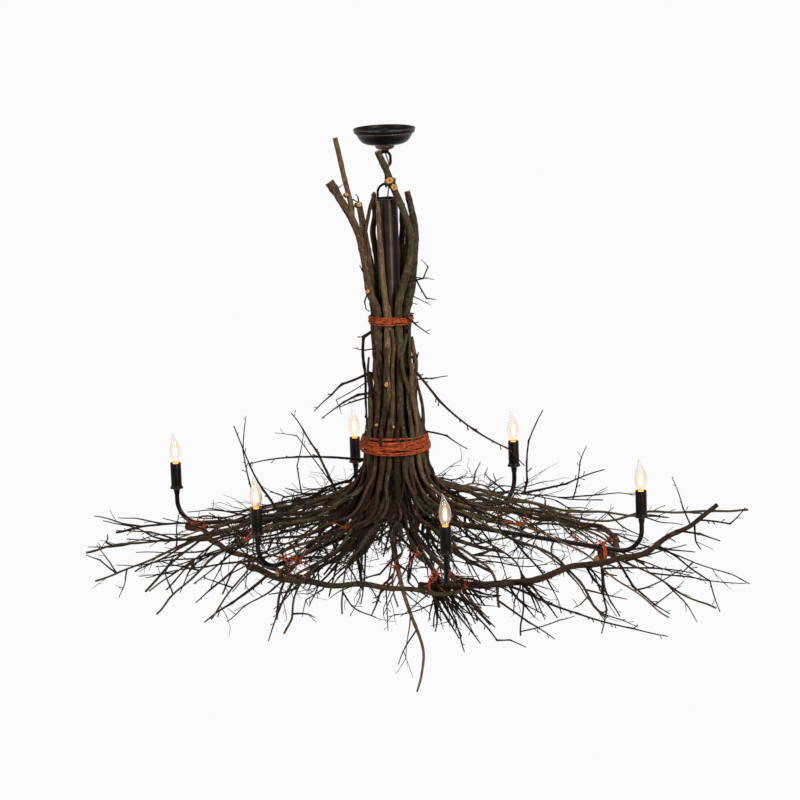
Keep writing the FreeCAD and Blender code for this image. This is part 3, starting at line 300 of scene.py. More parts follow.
def cut_wood(name, pale, orange, pith, rim):
    """A sawn end: dark pith, yearly rings and a rim of bark; v of the uv is the share of the radius."""
    n = new_material(name)
    place = n.place()
    wobble = n.math("MULTIPLY", n.noise(place, 160, 3), 0.16)
    share = n.math("ADD", n.along_height(), n.math("SUBTRACT", wobble, 0.08))
    color = n.ramp(share, (0.0, pith), (0.2, pith), (0.32, orange), (0.62, pale), (0.84, orange), (0.95, rim))
    grain = n.ramp(n.noise(place, 900, 3), (0.3, (0.72, 0.68, 0.62)), (0.7, (1.12, 1.1, 1.06)))
    color = n.mix(0.8, color, grain, "MULTIPLY")
    normal = n.bump(n.noise(place, 1200, 2), 0.35, 0.0005)
    return n.surface(color, 0.78, Normal=normal, Specular_IOR_Level=0.3)


def bronze(name, dark, rubbed, share, roughness=0.36, metallic=0.85):
    """Dark bronze, rubbed through to a warmer tone in soft patches and brushed fine along its height."""
    n = new_material(name)
    place = n.place()
    fine = n.noise(n.scaled(place, (420, 420, 30)), 1.0, 3, 0.6)
    amount = n.ramp(n.noise(place, 22, 5, 0.62, 0.3), (0.42, 0), (0.8, share))
    color = n.mix(amount, dark, rubbed)
    color = n.mix(0.35, color, n.ramp(fine, (0.3, 0.6), (0.7, 1.2)), "MULTIPLY")
    rough = n.ramp(fine, (0.25, roughness - 0.08), (0.75, roughness + 0.12))
    normal = n.bump(fine, 0.06, 0.0002)
    return n.surface(color, rough, Normal=normal, Metallic=metallic, Specular_IOR_Level=0.2)


def rusty_wire(name):
    """Twisted iron wire gone to red rust: orange bloom and dark scale in patches, with a fine grain along the wire.
    """
    n = new_material(name)
    bloom = n.noise(n.place(), 200, 5, 0.65)
    grain = n.noise(n.scaled(n.along(), (14, 220, 1)), 1.0, 4, 0.7, 0.5)
    color = n.ramp(
        bloom, (0.28, (0.07, 0.014, 0.006)), (0.42, (0.26, 0.045, 0.014)), (0.56, (0.46, 0.086, 0.024)),
        (0.74, (0.68, 0.165, 0.044)))
    color = n.mix(0.85, color, n.ramp(grain, (0.36, (0.3, 0.26, 0.24)), (0.6, (1.15, 1.1, 1.05))), "MULTIPLY")
    return n.surface(color, 0.75, Normal=n.bump(grain, 0.6, 0.0007), Specular_IOR_Level=0.12)


def lit_glass(name):
    """Clear bulb glass, warmed by the light in it, with the orange of the cap showing at its neck."""
    n = new_material(name)
    haze = n.math("MULTIPLY", n.math("SUBTRACT", n.noise(n.place(), 60, 2), 0.5), 0.03)
    warmth = n.ramp(
        n.math("ADD", n.along_height(), haze), (0.0, (1.0, 0.36, 0.04)), (0.06, (0.7, 0.2, 0.025)),
        (0.09, (0.12, 0.06, 0.03)), (0.5, (0.05, 0.035, 0.025)), (1.0, (0.02, 0.018, 0.016)))
    edge = n.add("ShaderNodeLayerWeight")
    n.feed(edge.inputs["Blend"], 0.35)
    tint = n.ramp(
        edge.outputs["Facing"], (0.0, (0.95, 0.9, 0.86)), (0.45, (0.84, 0.76, 0.7)),
        (0.8, (0.45, 0.37, 0.32)), (0.95, (0.28, 0.22, 0.18)))
    return n.surface(
        tint, 0.02, Transmission_Weight=1.0, IOR=1.42, Emission_Color=warmth, Emission_Strength=1.0)


def glow_shell(name, color, strength, share):
    """One shell of light: part clear, part shining."""
    n = new_material(name)
    drift = n.ramp(n.noise(n.place(), 90, 2), (0.3, tuple(value * 0.9 for value in color)), (0.7, color))
    clear = n.add("ShaderNodeBsdfTransparent").outputs[0]
    return n.finish(n.either(share, clear, n.light("ShaderNodeEmission", drift, strength)))


def hot_wire(name):
    """The lamp's glowing filament."""
    n = new_material(name)
    glow = n.ramp(n.noise(n.place(), 500, 2), (0.3, (1.0, 0.62, 0.24)), (0.7, (1.0, 0.8, 0.46)))
    return n.surface((1.0, 0.8, 0.5), 0.5, Emission_Color=glow, Emission_Strength=22.0)


def plain_stock(name, color, second, roughness, metallic=0.0, scale=120.0, gloss=0.5):
    """Moulded or plated stock with a faint mottle."""
    n = new_material(name)
    mottle = n.noise(n.place(), scale, 4, 0.6)
    shade = n.ramp(mottle, (0.35, color), (0.7, second))
    rough = n.ramp(mottle, (0.3, roughness - 0.06), (0.7, roughness + 0.08))
    normal = n.bump(mottle, 0.1, 0.0003)
    return n.surface(shade, rough, Normal=normal, Metallic=metallic, Specular_IOR_Level=gloss)


def pale_stage(name):
    """A pale floor that keeps its shadows, looks white to the camera and can be seen through from below."""
    n = new_material(name)
    matte = n.add("ShaderNodeBsdfDiffuse")
    n.feed(matte.inputs["Color"], (FLOOR_GREY,) * 3)
    share = n.math("MULTIPLY", n.seen(), FLOOR_WHITENESS)
    top = n.either(share, matte.outputs[0], n.light("ShaderNodeEmission", (1, 1, 1)))
    from_below = n.add("ShaderNodeNewGeometry").outputs["Backfacing"]
    return n.finish(n.either(from_below, top, n.add("ShaderNodeBsdfTransparent").outputs[0]))


def add_world():
    """Soft light from all round, behind plain white."""
    n = Nodes(bpy.data.worlds.new("studio"), "ShaderNodeOutputWorld")
    soft = n.light("ShaderNodeBackground", (0.94, 0.97, 1.0), WORLD_STRENGTH)
    white = n.light("ShaderNodeBackground", (1, 1, 1))
    bpy.context.scene.world = n.finish(n.either(n.seen(), soft, white))


BARK = bark("bark", (0.008, 0.005, 0.0035), (0.052, 0.037, 0.026), (0.27, 0.205, 0.15), (0.085, 0.085, 0.05))
TWIG_BARK = bark(
    "twig_bark", (0.004, 0.0026, 0.002), (0.018, 0.011, 0.007), (0.09, 0.054, 0.035), (0.034, 0.027, 0.018))
CUT_WOOD = cut_wood(
    "cut_wood", (0.52, 0.3, 0.09), (0.46, 0.17, 0.03), (0.16, 0.05, 0.014), (0.05, 0.035, 0.025))
DARK_BRONZE = bronze("dark_bronze", (0.005, 0.004, 0.0034), (0.04, 0.027, 0.022), 0.4, 0.4)
TUBE_BRONZE = bronze("tube_bronze", (0.024, 0.018, 0.015), (0.09, 0.055, 0.046), 0.5, 0.34, 1.0)
BLACK_BRONZE = bronze("black_bronze", (0.008, 0.006, 0.005), (0.045, 0.03, 0.023), 0.4)
COPPER_BRONZE = bronze("copper_bronze", (0.09, 0.05, 0.04), (0.42, 0.22, 0.17), 0.9, 0.34)
# Lighter bronze for the line along the canopy's lip and the edge of each cup's rim: a painted highlight, on the cup
# rims with rubbed wear too.
LIP_HIGHLIGHT_BRONZE = bronze("lip_highlight_bronze", (0.09, 0.055, 0.042), (0.24, 0.14, 0.105), 0.8, 0.4)
RUST = rusty_wire("rusty_wire")
GLASS = lit_glass("lit_glass")
FILAMENT = hot_wire("filament")
GLOW = [
    glow_shell("glow_outer", (1.0, 0.58, 0.28), 0.95, 0.12),
    glow_shell("glow_middle", (1.0, 0.7, 0.4), 1.5, 0.18),
    glow_shell("glow_core", (1.0, 0.95, 0.86), 5.0, 0.5),
]
STEEL = plain_stock("black_steel", (0.009, 0.0085, 0.008), (0.016, 0.015, 0.014), 0.7, 0.0, 60, 0.08)
BRASS = plain_stock("bulb_brass", (0.5, 0.34, 0.13), (0.72, 0.52, 0.24), 0.3, 0.95, 90)
SOCKET_BLACK = plain_stock("socket_black", (0.016, 0.015, 0.014), (0.03, 0.028, 0.026), 0.5)
WIRE_COVER = plain_stock("wire_cover", (0.035, 0.027, 0.02), (0.07, 0.055, 0.04), 0.55, 0.0, 300)


# ------------------------------------------------------------------------------ the sticks
#
# Every stick is a list of points with a radius at each, all in one frame. The sticks of the bundle come from their
# places in the two bindings and spread below the lower one; the large crooked ones, the lashed ones and the long
# twigs are laid one by one. What chance shapes is drawn again until it clears everything laid before it. The solids
# are grown by the same rules from the same draws, so both have the same sticks.

CELL = 60.0
GAP = 0.9
TIE_RADIUS = 1.6
# Where the lower binding first holds the outer sticks, and how far out a grown twig may reach.
HELD_LEVEL = LOWER_LEVEL + 26
WIDEST_REACH = 640


def gap_between(a, b, c, d):
    """The shortest distance between the line segments a to b and c to d."""
    ux, uy, uz = b[0] - a[0], b[1] - a[1], b[2] - a[2]
    vx, vy, vz = d[0] - c[0], d[1] - c[1], d[2] - c[2]
    wx, wy, wz = a[0] - c[0], a[1] - c[1], a[2] - c[2]
    uu = ux * ux + uy * uy + uz * uz
    uv = ux * vx + uy * vy + uz * vz
    vv = vx * vx + vy * vy + vz * vz
    uw = ux * wx + uy * wy + uz * wz
    vw = vx * wx + vy * wy + vz * wz
    slack = uu * vv - uv * uv
    share = (uv * vw - vv * uw) / slack if slack > 1e-9 * uu * vv else 0.0
    share = min(max(share, 0.0), 1.0)
    other = (vw + share * uv) / vv
    if other < 0.0:
        other = 0.0
        share = min(max(-uw / uu, 0.0), 1.0)
    elif other > 1.0:
        other = 1.0
        share = min(max((uv - uw) / uu, 0.0), 1.0)
    x = wx + share * ux - other * vx
    y = wy + share * uy - other * vy
    z = wz + share * uz - other * vz
    return math.sqrt(x * x + y * y + z * z)


def cells_of(start, end, reach):
    """The cells that a line segment comes within reach of."""
    spans = []
    for a, b in zip(start, end):
        low, high = math.floor((min(a, b) - reach) / CELL), math.floor((max(a, b) + reach) / CELL)
        spans.append(range(low, high + 1))
    return itertools.product(*spans)


def stretches(points, radii):
    """Each stretch of a stick: its two ends and the larger of its radii."""
    return zip(points, points[1:], map(max, radii, radii[1:]))


class Room:
    """Everything laid so far, as capsules sorted into cells, so that a new stick can be kept clear of it."""

    def __init__(self):
        self.cells = {}

    def add(self, owner, points, radii):
        for start, end, radius in stretches(points, radii):
            for cell in cells_of(start, end, radius):
                self.cells.setdefault(cell, []).append((owner, start, end, radius))

    def clears(self, points, radii, ignored=None):
        """Whether a stick keeps the gap from all that is laid, but for what the ignored owner laid."""
        for start, end, radius in stretches(points, radii):
            for cell in cells_of(start, end, radius + 2):
                for owner, a, b, thick in self.cells.get(cell, ()):
                    if owner != ignored and gap_between(start, end, a, b) - thick - radius <= GAP:
                        return False
        return True


def around(radius, bearing, height):
    """The point at a radius from the stem's axis, a bearing in degrees and a height."""
    angle = math.radians(bearing)
    return (radius * math.cos(angle), radius * math.sin(angle), height)


def bearing_of(point):
    return math.degrees(math.atan2(point[1], point[0])) % 360


def turn_between(first, second):
    """The turn in degrees from one bearing to another, within half a circle."""
    return (second - first + 180) % 360 - 180


def between(a, b, share):
    """The point a share of the way from one point to another."""
    return tuple(p + (q - p) * share for p, q in zip(a, b))


def metal_room(room):
    """The stem, canopy, arms, candles and bindings, as capsules."""
    room.add("stem", [(0, 0, -128), (0, 0, HUB_BOTTOM)], [STEM_RADIUS, STEM_RADIUS])
    room.add("canopy", [(0, 0, 40), (0, 0, 20)], [62, 62])
    for reach, bearing in CANDLES:
        low = around(reach - ARM_BEND, bearing, ARM_LOW)
        bend = around(reach - ARM_BEND * 0.3, bearing, ARM_LOW + ARM_BEND * 0.3)
        upright = around(reach, bearing, ARM_LOW + ARM_BEND)
        room.add("arm", [around(10, bearing, HUB_MIDDLE), low, bend, upright], [ARM_RADIUS + 0.3] * 4)
        room.add("candle", [around(reach, bearing, level) for level in (-775, CANDLE_TOP)], [BULB_ROOM] * 2)
    for radius, level, half in ((47.7, UPPER_LEVEL, 11), (75.1, LOWER_LEVEL, 16)):
        for height in (level - half + 3, level, level + half - 3):
            room.add("binding", [around(radius, 24 * step, height) for step in range(16)], [6.2] * 16)


# The two leaders and the other sticks of the inner ring, by the bearing of their place in the bindings.
INNER_RADIUS = 32.4

LEADER_LEFT = [(-40, -30, -330), (-46, -29, -285), (-51, -28, -249), (-60, -27, -205), (-75, -26, -163),
               (-95, -26, -129), (-113, -26, -101)]
LEADER_LEFT_LIMB = [(-70, -27, -172), (-72, -28, -140), (-85, -30, -77), (-98, -32, -12)]
LEADER_RIGHT = [(17, -32.5, -345), (31, -32, -304), (44, -32, -262), (46, -32, -215), (35, -33, -171),
                (21, -34, -134), (8, -35, -101), (-4, -36, -66), (-15, -37, -41)]
# Each other inner stick: the bearing of its place, points above the upper binding, top radius, and the
# bearing, reach and height of its tip under the hub.
INNER_STICKS = [
    (256, [(-10, -31.5, -330), (-13, -31, -280), (-15, -31, -216), (-18.5, -31, -143)], 5.2,
     (266, 272, -1072)),
    (190, [(-37, -8, -324), (-46, -10, -266), (-47, -13, -211), (-36, -18, -170), (-24, -24, -124)], 5,
     (190, 205, -905)),
    (345, [(43, -9, -316), (55, -9, -246), (55, -9, -199), (48, -9, -159), (41, -9, -127)], 7,
     (356, 190, -915)),
    (20, [(35, 14, -320), (40, 17, -240), (44, 18, -180)], 6.5, (20, 230, -895)),
    (52, [(22, 28, -320), (27, 33, -250), (30, 40, -205)], 6, (72, 170, -925)),
    (88, [(1, 34, -320), (-1, 37, -230), (2, 42, -168)], 6, (88, 240, -900)),
    (121, [(-18, 30, -320), (-22, 36, -260), (-30, 44, -215)], 6, (128, 180, -930)),
    (155, [(-33, 15, -320), (-42, 20, -240), (-56, 26, -152)], 6.5, (181, 210, -905)),
]
LEFT_END = (240, 260, -1010)
RIGHT_END = (306, 300, -965)
# Where an inner stick turns outwards below the hub, and its radii from there to its tip.
TURN_LEVEL = -826.0
BELOW_RADII = [7.3, 6.8, 6.2, 4.4, 2.6]

# The listed ends of sticks of the skirt: x, y, z.
LONG_ENDS = [
    (-625, -60, -888), (-637, 25, -857), (-582, 120, -832), (-505, -170, -885), (-386, -330, -915),
    (-250, -390, -905), (-120, -420, -890), (60, -400, -925), (240, -350, -965), (400, -330, -945),
    (520, -300, -950), (640, -150, -965), (700, -80, -938), (705, 45, -812), (560, 130, -850),
    (430, 320, -850), (230, 440, -850), (40, 470, -840), (-190, 450, -850), (-430, 300, -850),
]
# Slender sticks lashed round the rim from arm to arm: their points and the radius at the first.
EDGE_STICKS = [
    ("edge_stick_left", [(-440, 205, -846), (-402, 160, -850), (-364, 40, -851), (-300, -80, -852),
                         (-235, -205, -850), (-190, -262, -848)], 7.5),
    ("edge_stick_front_left", [(-300, -188, -842), (-240, -262, -848), (-116, -330, -850), (0, -398, -847),
                               (70, -434, -847), (118, -452, -843)], 8),
    ("edge_stick_front_right", [(38, -372, -848), (96, -394, -848), (195, -368, -851), (316, -292, -850),
                                (432, -206, -848), (516, -150, -838), (566, -104, -822), (592, -82, -812),
                                (645, -62, -778)], 9),
    ("edge_stick_back_right", [(392, -206, -847), (440, -110, -849), (430, 20, -846), (345, 150, -849),
                               (226, 246, -847), (196, 280, -845)], 7.5),
    ("edge_stick_back", [(270, 238, -849), (220, 284, -848), (100, 335, -851), (-76, 372, -848),
                         (-128, 372, -845)], 7),
    ("edge_stick_back_left", [(-36, 316, -848), (-80, 325, -848), (-190, 322, -852), (-320, 262, -856),
                              (-392, 212, -864), (-440, 190, -868)], 7),
]
# Long twigs that show against the background; each grows from the nearest stick of the skirt.
LONG_TWIGS = [
    [(-253, 60, -768), (-274, 80, -746), (-299, 90, -697), (-329, 100, -614)],
    [(-142, 60, -712), (-159, 90, -674), (-186, 110, -633), (-211, 120, -595)],
    [(278, 180, -800), (272, 200, -774), (278, 220, -692), (310, 230, -629)],
    [(261, 180, -806), (355, 220, -786), (436, 250, -765)],
    [(44, -50, -478), (91, -66, -543), (159, -84, -602), (227, -95, -641), (258, -100, -676)],
    [(-50, -45, -488), (-102, -64, -503), (-123, -66, -523), (-160, -70, -555)],
    [(-48, -52, -520), (-71, -64, -526), (-100, -74, -538), (-145, -76, -569)],
    [(-90, 30, -668), (-201, 60, -675), (-300, 70, -688)],
    [(396, -190, -850), (402, -200, -910), (410, -205, -952), (398, -205, -1001)],
    [(416, -150, -862), (466, -160, -917), (508, -170, -954), (538, -170, -974)],
    [(195, -330, -872), (285, -340, -899), (345, -345, -922), (453, -350, -955), (522, -340, -976)],
    [(-215, -255, -830), (-240, -300, -905), (-262, -330, -960)],
    [(44, -38, -312), (68, -44, -298), (78, -50, -274), (64, -52, -258)],
]

# The two outer rings of the bundle: how many sticks, their radius from the axis at the lower binding, a
# stick's own radius, the highest and lowest tops, and the outline of the skirt as (reach, height).
LAYERS = [
    (25, 60.9, 6.7, -432, -600,
     [(60.9, -672), (76, -712), (122, -746), (195, -771), (292, -794), (395, -822)]),
    (18, 46.9, 6.6, -520, -612,
     [(46.9, -674), (54, -724), (92, -772), (165, -793), (262, -812), (370, -834)]),
]
# A stick's radius at the last four points of that outline, as shares of its radius in the binding.
TAPER = (0.88, 0.76, 0.64, 0.54)


def spread(bearing):
    """The bearing a stick leaves at, drawn towards the left and right of the skirt."""
    return bearing - 15 * math.sin(math.radians(2 * bearing))


def lay(room, sticks, name, node, points, radii):
    """Keep a stick and the room it takes."""
    room.add(name, points, radii)
    sticks.append({"name": name, "node": node, "points": points, "radii": radii, "twigs": []})


def lay_twig(room, parent, kind, points, radii):
    """Keep a twig, which takes room in its parent's name."""
    room.add(parent["name"], points, radii)
    parent["twigs"].append((kind, points, radii))


def taper(start, end, count):
    """Radii from start to end over a number of points."""
    return [start + (end - start) * index / (count - 1) for index in range(count)]


def inner_stick(room, sticks, dice, name, node, place, above, top_radius, end):
    """One stick of the inner ring: laid from given points above the upper binding, hanging between the arms below."""
    bearing, reach, height = end
    held = [around(INNER_RADIUS, place, level) for level in (UPPER_LEVEL + 18, UPPER_LEVEL - 20)]
    held += [around(31.6, place, level) for level in (LOWER_LEVEL + 22, LOWER_LEVEL - 26)]
    for trial in range(400):
        wander = min(trial / 40, 9)
        side = place + turn_between(place, bearing) * 0.3 + dice.uniform(-wander, wander)
        far = bearing + dice.uniform(-wander, wander) * 2
        below = [
            around(33 + dice.uniform(0, 3), side, -734), around(44 + dice.uniform(0, 8), side, -775),
            around(70 + dice.uniform(0, 16), side + turn_between(side, far) / 2, TURN_LEVEL),
            around(reach * 0.62, far, TURN_LEVEL + (height - TURN_LEVEL) * dice.uniform(0.42, 0.6)),
            around(reach, far, height),
        ]
        if room.clears(held[-1:] + below, [7.6] + BELOW_RADII):
            break
    radii = taper(top_radius, 8.0, len(above)) + [8.1, 8.1, 8.0, 7.8] + BELOW_RADII
    lay(room, sticks, name, node, above[::-1] + held + below, radii)


def sector(bearing):
    """The skirt node that a bearing falls in."""
    names = ("right", "back_right", "back_left", "left", "front_left", "front_right")
    return "skirt_" + names[int(((bearing + 30) % 360) // 60)]


def skirt_stick(room, sticks, dice, name, place, layer, end):
    """One stick of an outer ring, out over the arms and down to its tip; False if there is no room for it."""
    _, radius, thick, highest, lowest, outline = layer
    for trial in range(260):
        wander = 1 + trial / 16
        thick_here = thick * (1 - 0.3 * min(1, trial / 160)) * dice.uniform(0.88, 1)
        top = dice.uniform(lowest, highest) if trial < 200 else lowest - 8
        inward = 11 * max(0, (top - LOWER_LEVEL - 60) / 200)
        far = spread(place) if end is None else bearing_of(end)
        turn = turn_between(place, far)
        points = [around(radius - inward, place, top), around(radius, place, HELD_LEVEL)]
        if top > LOWER_LEVEL + 120:
            points.insert(1, around(radius - inward * 0.45, place + dice.uniform(-2, 2), (top + HELD_LEVEL) / 2))
        for (reach, height), share in zip(outline, (0.0, 0.12, 0.4, 0.75, 1.0, 1.0)):
            loose = wander * min(1, max(0, reach - 70) / 200)
            side = place + turn * share + dice.uniform(-1, 1) * loose * 60 / reach
            out = reach + dice.uniform(-1, 1) * loose
            points.append(around(out, side, height + dice.uniform(-0.7, 1) * loose))
        if end is None:
            side_pull = abs(math.cos(math.radians(far)))
            reach = dice.uniform(400, 500) + 110 * side_pull * dice.random()
            drop = dice.uniform(10, 70) + (reach - 400) * 0.28
            tip = around(reach, far + dice.uniform(-7, 7), outline[-1][1] - drop)
        else:
            tip = (end[0] + dice.uniform(-1, 1) * wander, end[1] + dice.uniform(-1, 1) * wander, end[2])
        last = points[-1]
        if math.dist(last, tip) > 160:
            bow = dice.uniform(-6, 12)
            points.append(tuple((a + b) / 2 for a, b in zip(last, tip))[:2] + ((last[2] + tip[2]) / 2 + bow,))
        points.append(tip)
        tip_radius = dice.uniform(1.6, 3.4)
        radii = [thick_here] * (len(points) - len(TAPER) - 2) + [thick_here * share for share in TAPER]
        radii += [max(tip_radius, thick_here * 0.42), tip_radius]
        if room.clears(points, radii):
            lay(room, sticks, name, sector(far % 360), points, radii)
            return True
    return False


def length_of(vector):
    return math.sqrt(sum(value * value for value in vector))


def grow_twig(room, parent, dice, position, length, thick):
    """A twig from a place on a parent stick, out and to one side with a kink, if there is room for it."""
    index = min(int(position), len(parent["points"]) - 2)
    share = position - index
    low, high = parent["points"][index:index + 2]
    start = between(low, high, share)
    along = [b - a for a, b in zip(low, high)]
    size_here = length_of(along)
    along = [value / size_here for value in along]
    parent_radius = parent["radii"][index] * (1 - share) + parent["radii"][index + 1] * share
    thick = min(thick, parent_radius * 0.75)
    for trial in range(14):
        heading = [value * dice.uniform(0.5, 1) + dice.uniform(-0.8, 0.8) for value in along]
        heading[2] += dice.uniform(-0.35, 0.35)
        norm = length_of(heading)
        if norm < 0.2:
            continue
        route = [start]
        for half in range(2):
            heading = [value / norm + dice.uniform(-0.22, 0.22) for value in heading]
            norm = length_of(heading)
            reach = length / 2 * dice.uniform(0.85, 1.15)
            route.append(tuple(a + value / norm * reach for a, value in zip(route[-1], heading)))
        radii = taper(thick, thick * 0.45, len(route))
        within = max(math.dist((0, 0), point[:2]) for point in route) <= WIDEST_REACH
        if within and room.clears(route, radii, parent["name"]):
            lay_twig(room, parent, "fine", route, radii)
            return


def nearest_stick(sticks, point):
    """The stick whose centre line passes nearest a point, and where on it."""
    found = []
    for stick in sticks:
        for a, b in zip(stick["points"], stick["points"][1:]):
            run = [q - p for p, q in zip(a, b)]
            share = sum((w - p) * r for w, p, r in zip(point, a, run)) / sum(r * r for r in run)
            found.append((stick, between(a, b, min(max(share, 0.0), 1.0))))
    return min(found, key=lambda pair: math.dist(point, pair[1]))


def grow_wood():
    """All the sticks, each with its twigs, and the rings of points of the wraps that lash the rim."""
    dice = random.Random(11)
    room = Room()
    metal_room(room)
    sticks = []
    for node, points, thick in EDGE_STICKS:
        lay(room, sticks, node, node, points, taper(thick, thick * 0.55, len(points)))
    ties = tie_rings(sticks)
    for ring in ties:
        room.add("tie", ring + ring[:1], [TIE_RADIUS] * (len(ring) + 1))
    inner_stick(room, sticks, dice, "leader_left", "leader_left", 222, LEADER_LEFT, 8.6, LEFT_END)
    lay_twig(room, sticks[-1], "limb", LEADER_LEFT_LIMB, [6.2, 6.2, 6, 5.6])
    inner_stick(room, sticks, dice, "leader_right", "leader_right", 297, LEADER_RIGHT, 8.2, RIGHT_END)
    for number, (place, above, top_radius, end) in enumerate(INNER_STICKS, start=1):
        name = "trunk_stick_%d" % number
        inner_stick(room, sticks, dice, name, "trunk_sticks", place, above, top_radius, end)
    outer_rings(room, sticks, dice)
    for route in LONG_TWIGS:
        parent, place = nearest_stick(sticks, route[0])
        lay_twig(room, parent, "long", [place] + route[1:], taper(3.4, 1.3, len(route)))
    for stick in sticks:
        last = len(stick["points"]) - 1
        for place in (last - 1.35, last - 0.6) if stick["name"].startswith("skirt") else (last - 0.7,):
            position = place + dice.uniform(-0.25, 0.2)
            grow_twig(room, stick, dice, position, dice.uniform(80, 200), dice.uniform(1.8, 2.8))
    return sticks, ties


def outer_rings(room, sticks, dice):
    """The two outer rings of the bundle, each stick led to the listed end nearest its bearing, if any."""
    ends = list(LONG_ENDS)
    for depth, layer in enumerate(LAYERS, start=1):
        reach = 9 if depth == 1 else 12
        for number in range(layer[0]):
            place = 360 / layer[0] * (number + 0.5 * (depth - 1))
            near = [end for end in ends if abs(turn_between(spread(place), bearing_of(end))) < reach]
            name = "skirt_stick_%d_%d" % (depth, number + 1)
            if near and skirt_stick(room, sticks, dice, name, place, layer, near[0]):
                ends.remove(near[0])
            else:
                skirt_stick(room, sticks, dice, name, place, layer, None)


def tie_rings(sticks):
    """A ring of points round stick and arm at each place where a stick of the rim passes under an arm."""
    rings = []
    for stick in sticks:
        for reach, bearing in CANDLES:
            inner, outer = around(10, bearing, HUB_MIDDLE), around(reach - ARM_BEND, bearing, ARM_LOW)
            for a, b, thick in zip(stick["points"], stick["points"][1:], stick["radii"]):
                place = crossing(inner, outer, a, b)
                if place:
                    rings.append(tie_ring(inner, outer, a, b, place, thick))
    return rings


def crossing(inner, outer, a, b):
    """How far along an arm and along a stick they cross, seen from above, or None."""
    ux, uy = outer[0] - inner[0], outer[1] - inner[1]
    vx, vy = b[0] - a[0], b[1] - a[1]
    wx, wy = a[0] - inner[0], a[1] - inner[1]
    slack = ux * vy - uy * vx
    on_arm = (wx * vy - wy * vx) / slack
    on_stick = (wx * uy - wy * ux) / slack
    if 0 <= on_arm <= 1 and 0 <= on_stick < 1:
        return on_arm, on_stick
    return None


def tie_ring(inner, outer, a, b, place, thick):
    """An upright oval of points round an arm and the stick under it, in a plane slanting across both."""
    x, y, arm_height = between(inner, outer, place[0])
    stick_height = between(a, b, place[1])[2]
    top, bottom = arm_height + ARM_RADIUS + 2.4, stick_height - thick - 2.4
    arm_way = math.atan2(outer[1] - inner[1], outer[0] - inner[0])
    stick_way = math.atan2(b[1] - a[1], b[0] - a[0])
    slant = (arm_way + stick_way) / 2 + math.pi / 2
    half = (thick + 1.8) / abs(math.sin((stick_way - arm_way) / 2)) + 1.5
    ring = []
    for step in range(8):
        angle = math.pi * (step + 0.5) / 4
        across = half * math.cos(angle) / math.cos(math.pi / 8)
        rise = (top - bottom) / 2 * math.sin(angle) / math.cos(math.pi / 8)
        ring.append((x + across * math.cos(slant), y + across * math.sin(slant), (top + bottom) / 2 + rise))
    return ring


# ------------------------------------------------------------------------------ mesh tools

class Shape:
    """Points and faces with a uv and a material of their own, gathered into one mesh."""

    def __init__(self):
        self.points, self.faces, self.uvs, self.slots, self.tones = [], [], [], [], []

    def add(self, points, faces, uvs, slot, tone):
        base = sum(len(block) for block in self.points)
        self.points.append(np.asarray(points, float))
        for face, uv in zip(faces, uvs):
            self.faces.append([base + index for index in face])
            self.uvs += uv
            self.slots.append(slot)
        self.tones.append(np.full(len(points), tone))

    def make(self, name, *materials):
        """The mesh object, its points given in millimetres."""
        mesh = bpy.data.meshes.new(name)
        mesh.from_pydata((np.concatenate(self.points) * MM).tolist(), [], self.faces)
        mesh.uv_layers.new(name="along").data.foreach_set("uv", np.asarray(self.uvs, np.float32).ravel())
        mesh.polygons.foreach_set("material_index", self.slots)
        mesh.polygons.foreach_set("use_smooth", [True] * len(mesh.polygons))
        tone = mesh.attributes.new("tone", "FLOAT", "POINT")
        tone.data.foreach_set("value", np.concatenate(self.tones).astype(np.float32))
        for material in materials:
            mesh.materials.append(material)
        mesh.validate()
        return add_to_scene(name, mesh)


def dress(thing, body, slot, *nodes):
    """Put a piece on its body and hide the nodes it stands for; its finish, slot, is not used."""
    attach(thing, body)
    if nodes:
        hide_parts(*nodes)


def unit(vector):
    return vector / np.linalg.norm(vector)


def jitter(dice, reach):
    """A random move of up to reach along each axis."""
    return np.array([dice.uniform(-reach, reach) for _ in range(3)])


def run_along(line):
    """How far along a line each of its points is."""
    return np.concatenate([[0], np.cumsum(np.linalg.norm(np.diff(line, axis=0), axis=1))])


def thinned(thick, loss, count):
    """Radii that lose a share of the first by the last of a number of points."""
    return [thick * (1 - loss * index / (count - 1)) for index in range(count)]


def smooth_line(points, radii, step):
    """Points and radii along a smooth curve through the given ones, about a step apart."""
    points = np.asarray(points, float)
    radii = np.asarray(radii, float)
    before = np.vstack([2 * points[0] - points[1], points, 2 * points[-1] - points[-2]])
    places, sizes = [], []
    for index in range(len(points) - 1):
        p0, p1, p2, p3 = before[index:index + 4]
        length = np.linalg.norm(p2 - p1)
        count = max(2, int(round(length / step)))
        back = max(np.linalg.norm(p1 - p0), 1e-6)
        ahead = max(np.linalg.norm(p3 - p2), 1e-6)
        leave = (p2 - p0) / (length + back) * length
        arrive = (p3 - p1) / (length + ahead) * length
        for t in np.arange(count) / count:
            h00, h10 = 2 * t ** 3 - 3 * t ** 2 + 1, t ** 3 - 2 * t ** 2 + t
            h01, h11 = -2 * t ** 3 + 3 * t ** 2, t ** 3 - t ** 2
            places.append(h00 * p1 + h10 * leave + h01 * p2 + h11 * arrive)
            sizes.append(radii[index] + (radii[index + 1] - radii[index]) * t)
    places.append(points[-1])
    sizes.append(radii[-1])
    return np.array(places), np.array(sizes)


def frames_along(points):
    """Unit vectors across a line at each point, turned as little as possible from one to the next."""
    ways = np.gradient(points, axis=0)
    ways /= np.linalg.norm(ways, axis=1)[:, None]
    helper = np.array([0.0, 0.0, 1.0]) if abs(ways[0][2]) < 0.9 else np.array([1.0, 0.0, 0.0])
    across = np.cross(ways[0], helper)
    across /= np.linalg.norm(across)
    firsts = []
    for way in ways:
        across = across - way * across.dot(way)
        across /= np.linalg.norm(across)
        firsts.append(across)
    firsts = np.array(firsts)
    return ways, firsts, np.cross(ways, firsts)


def ring_angles(sides):
    return np.arange(sides) * 2 * math.pi / sides


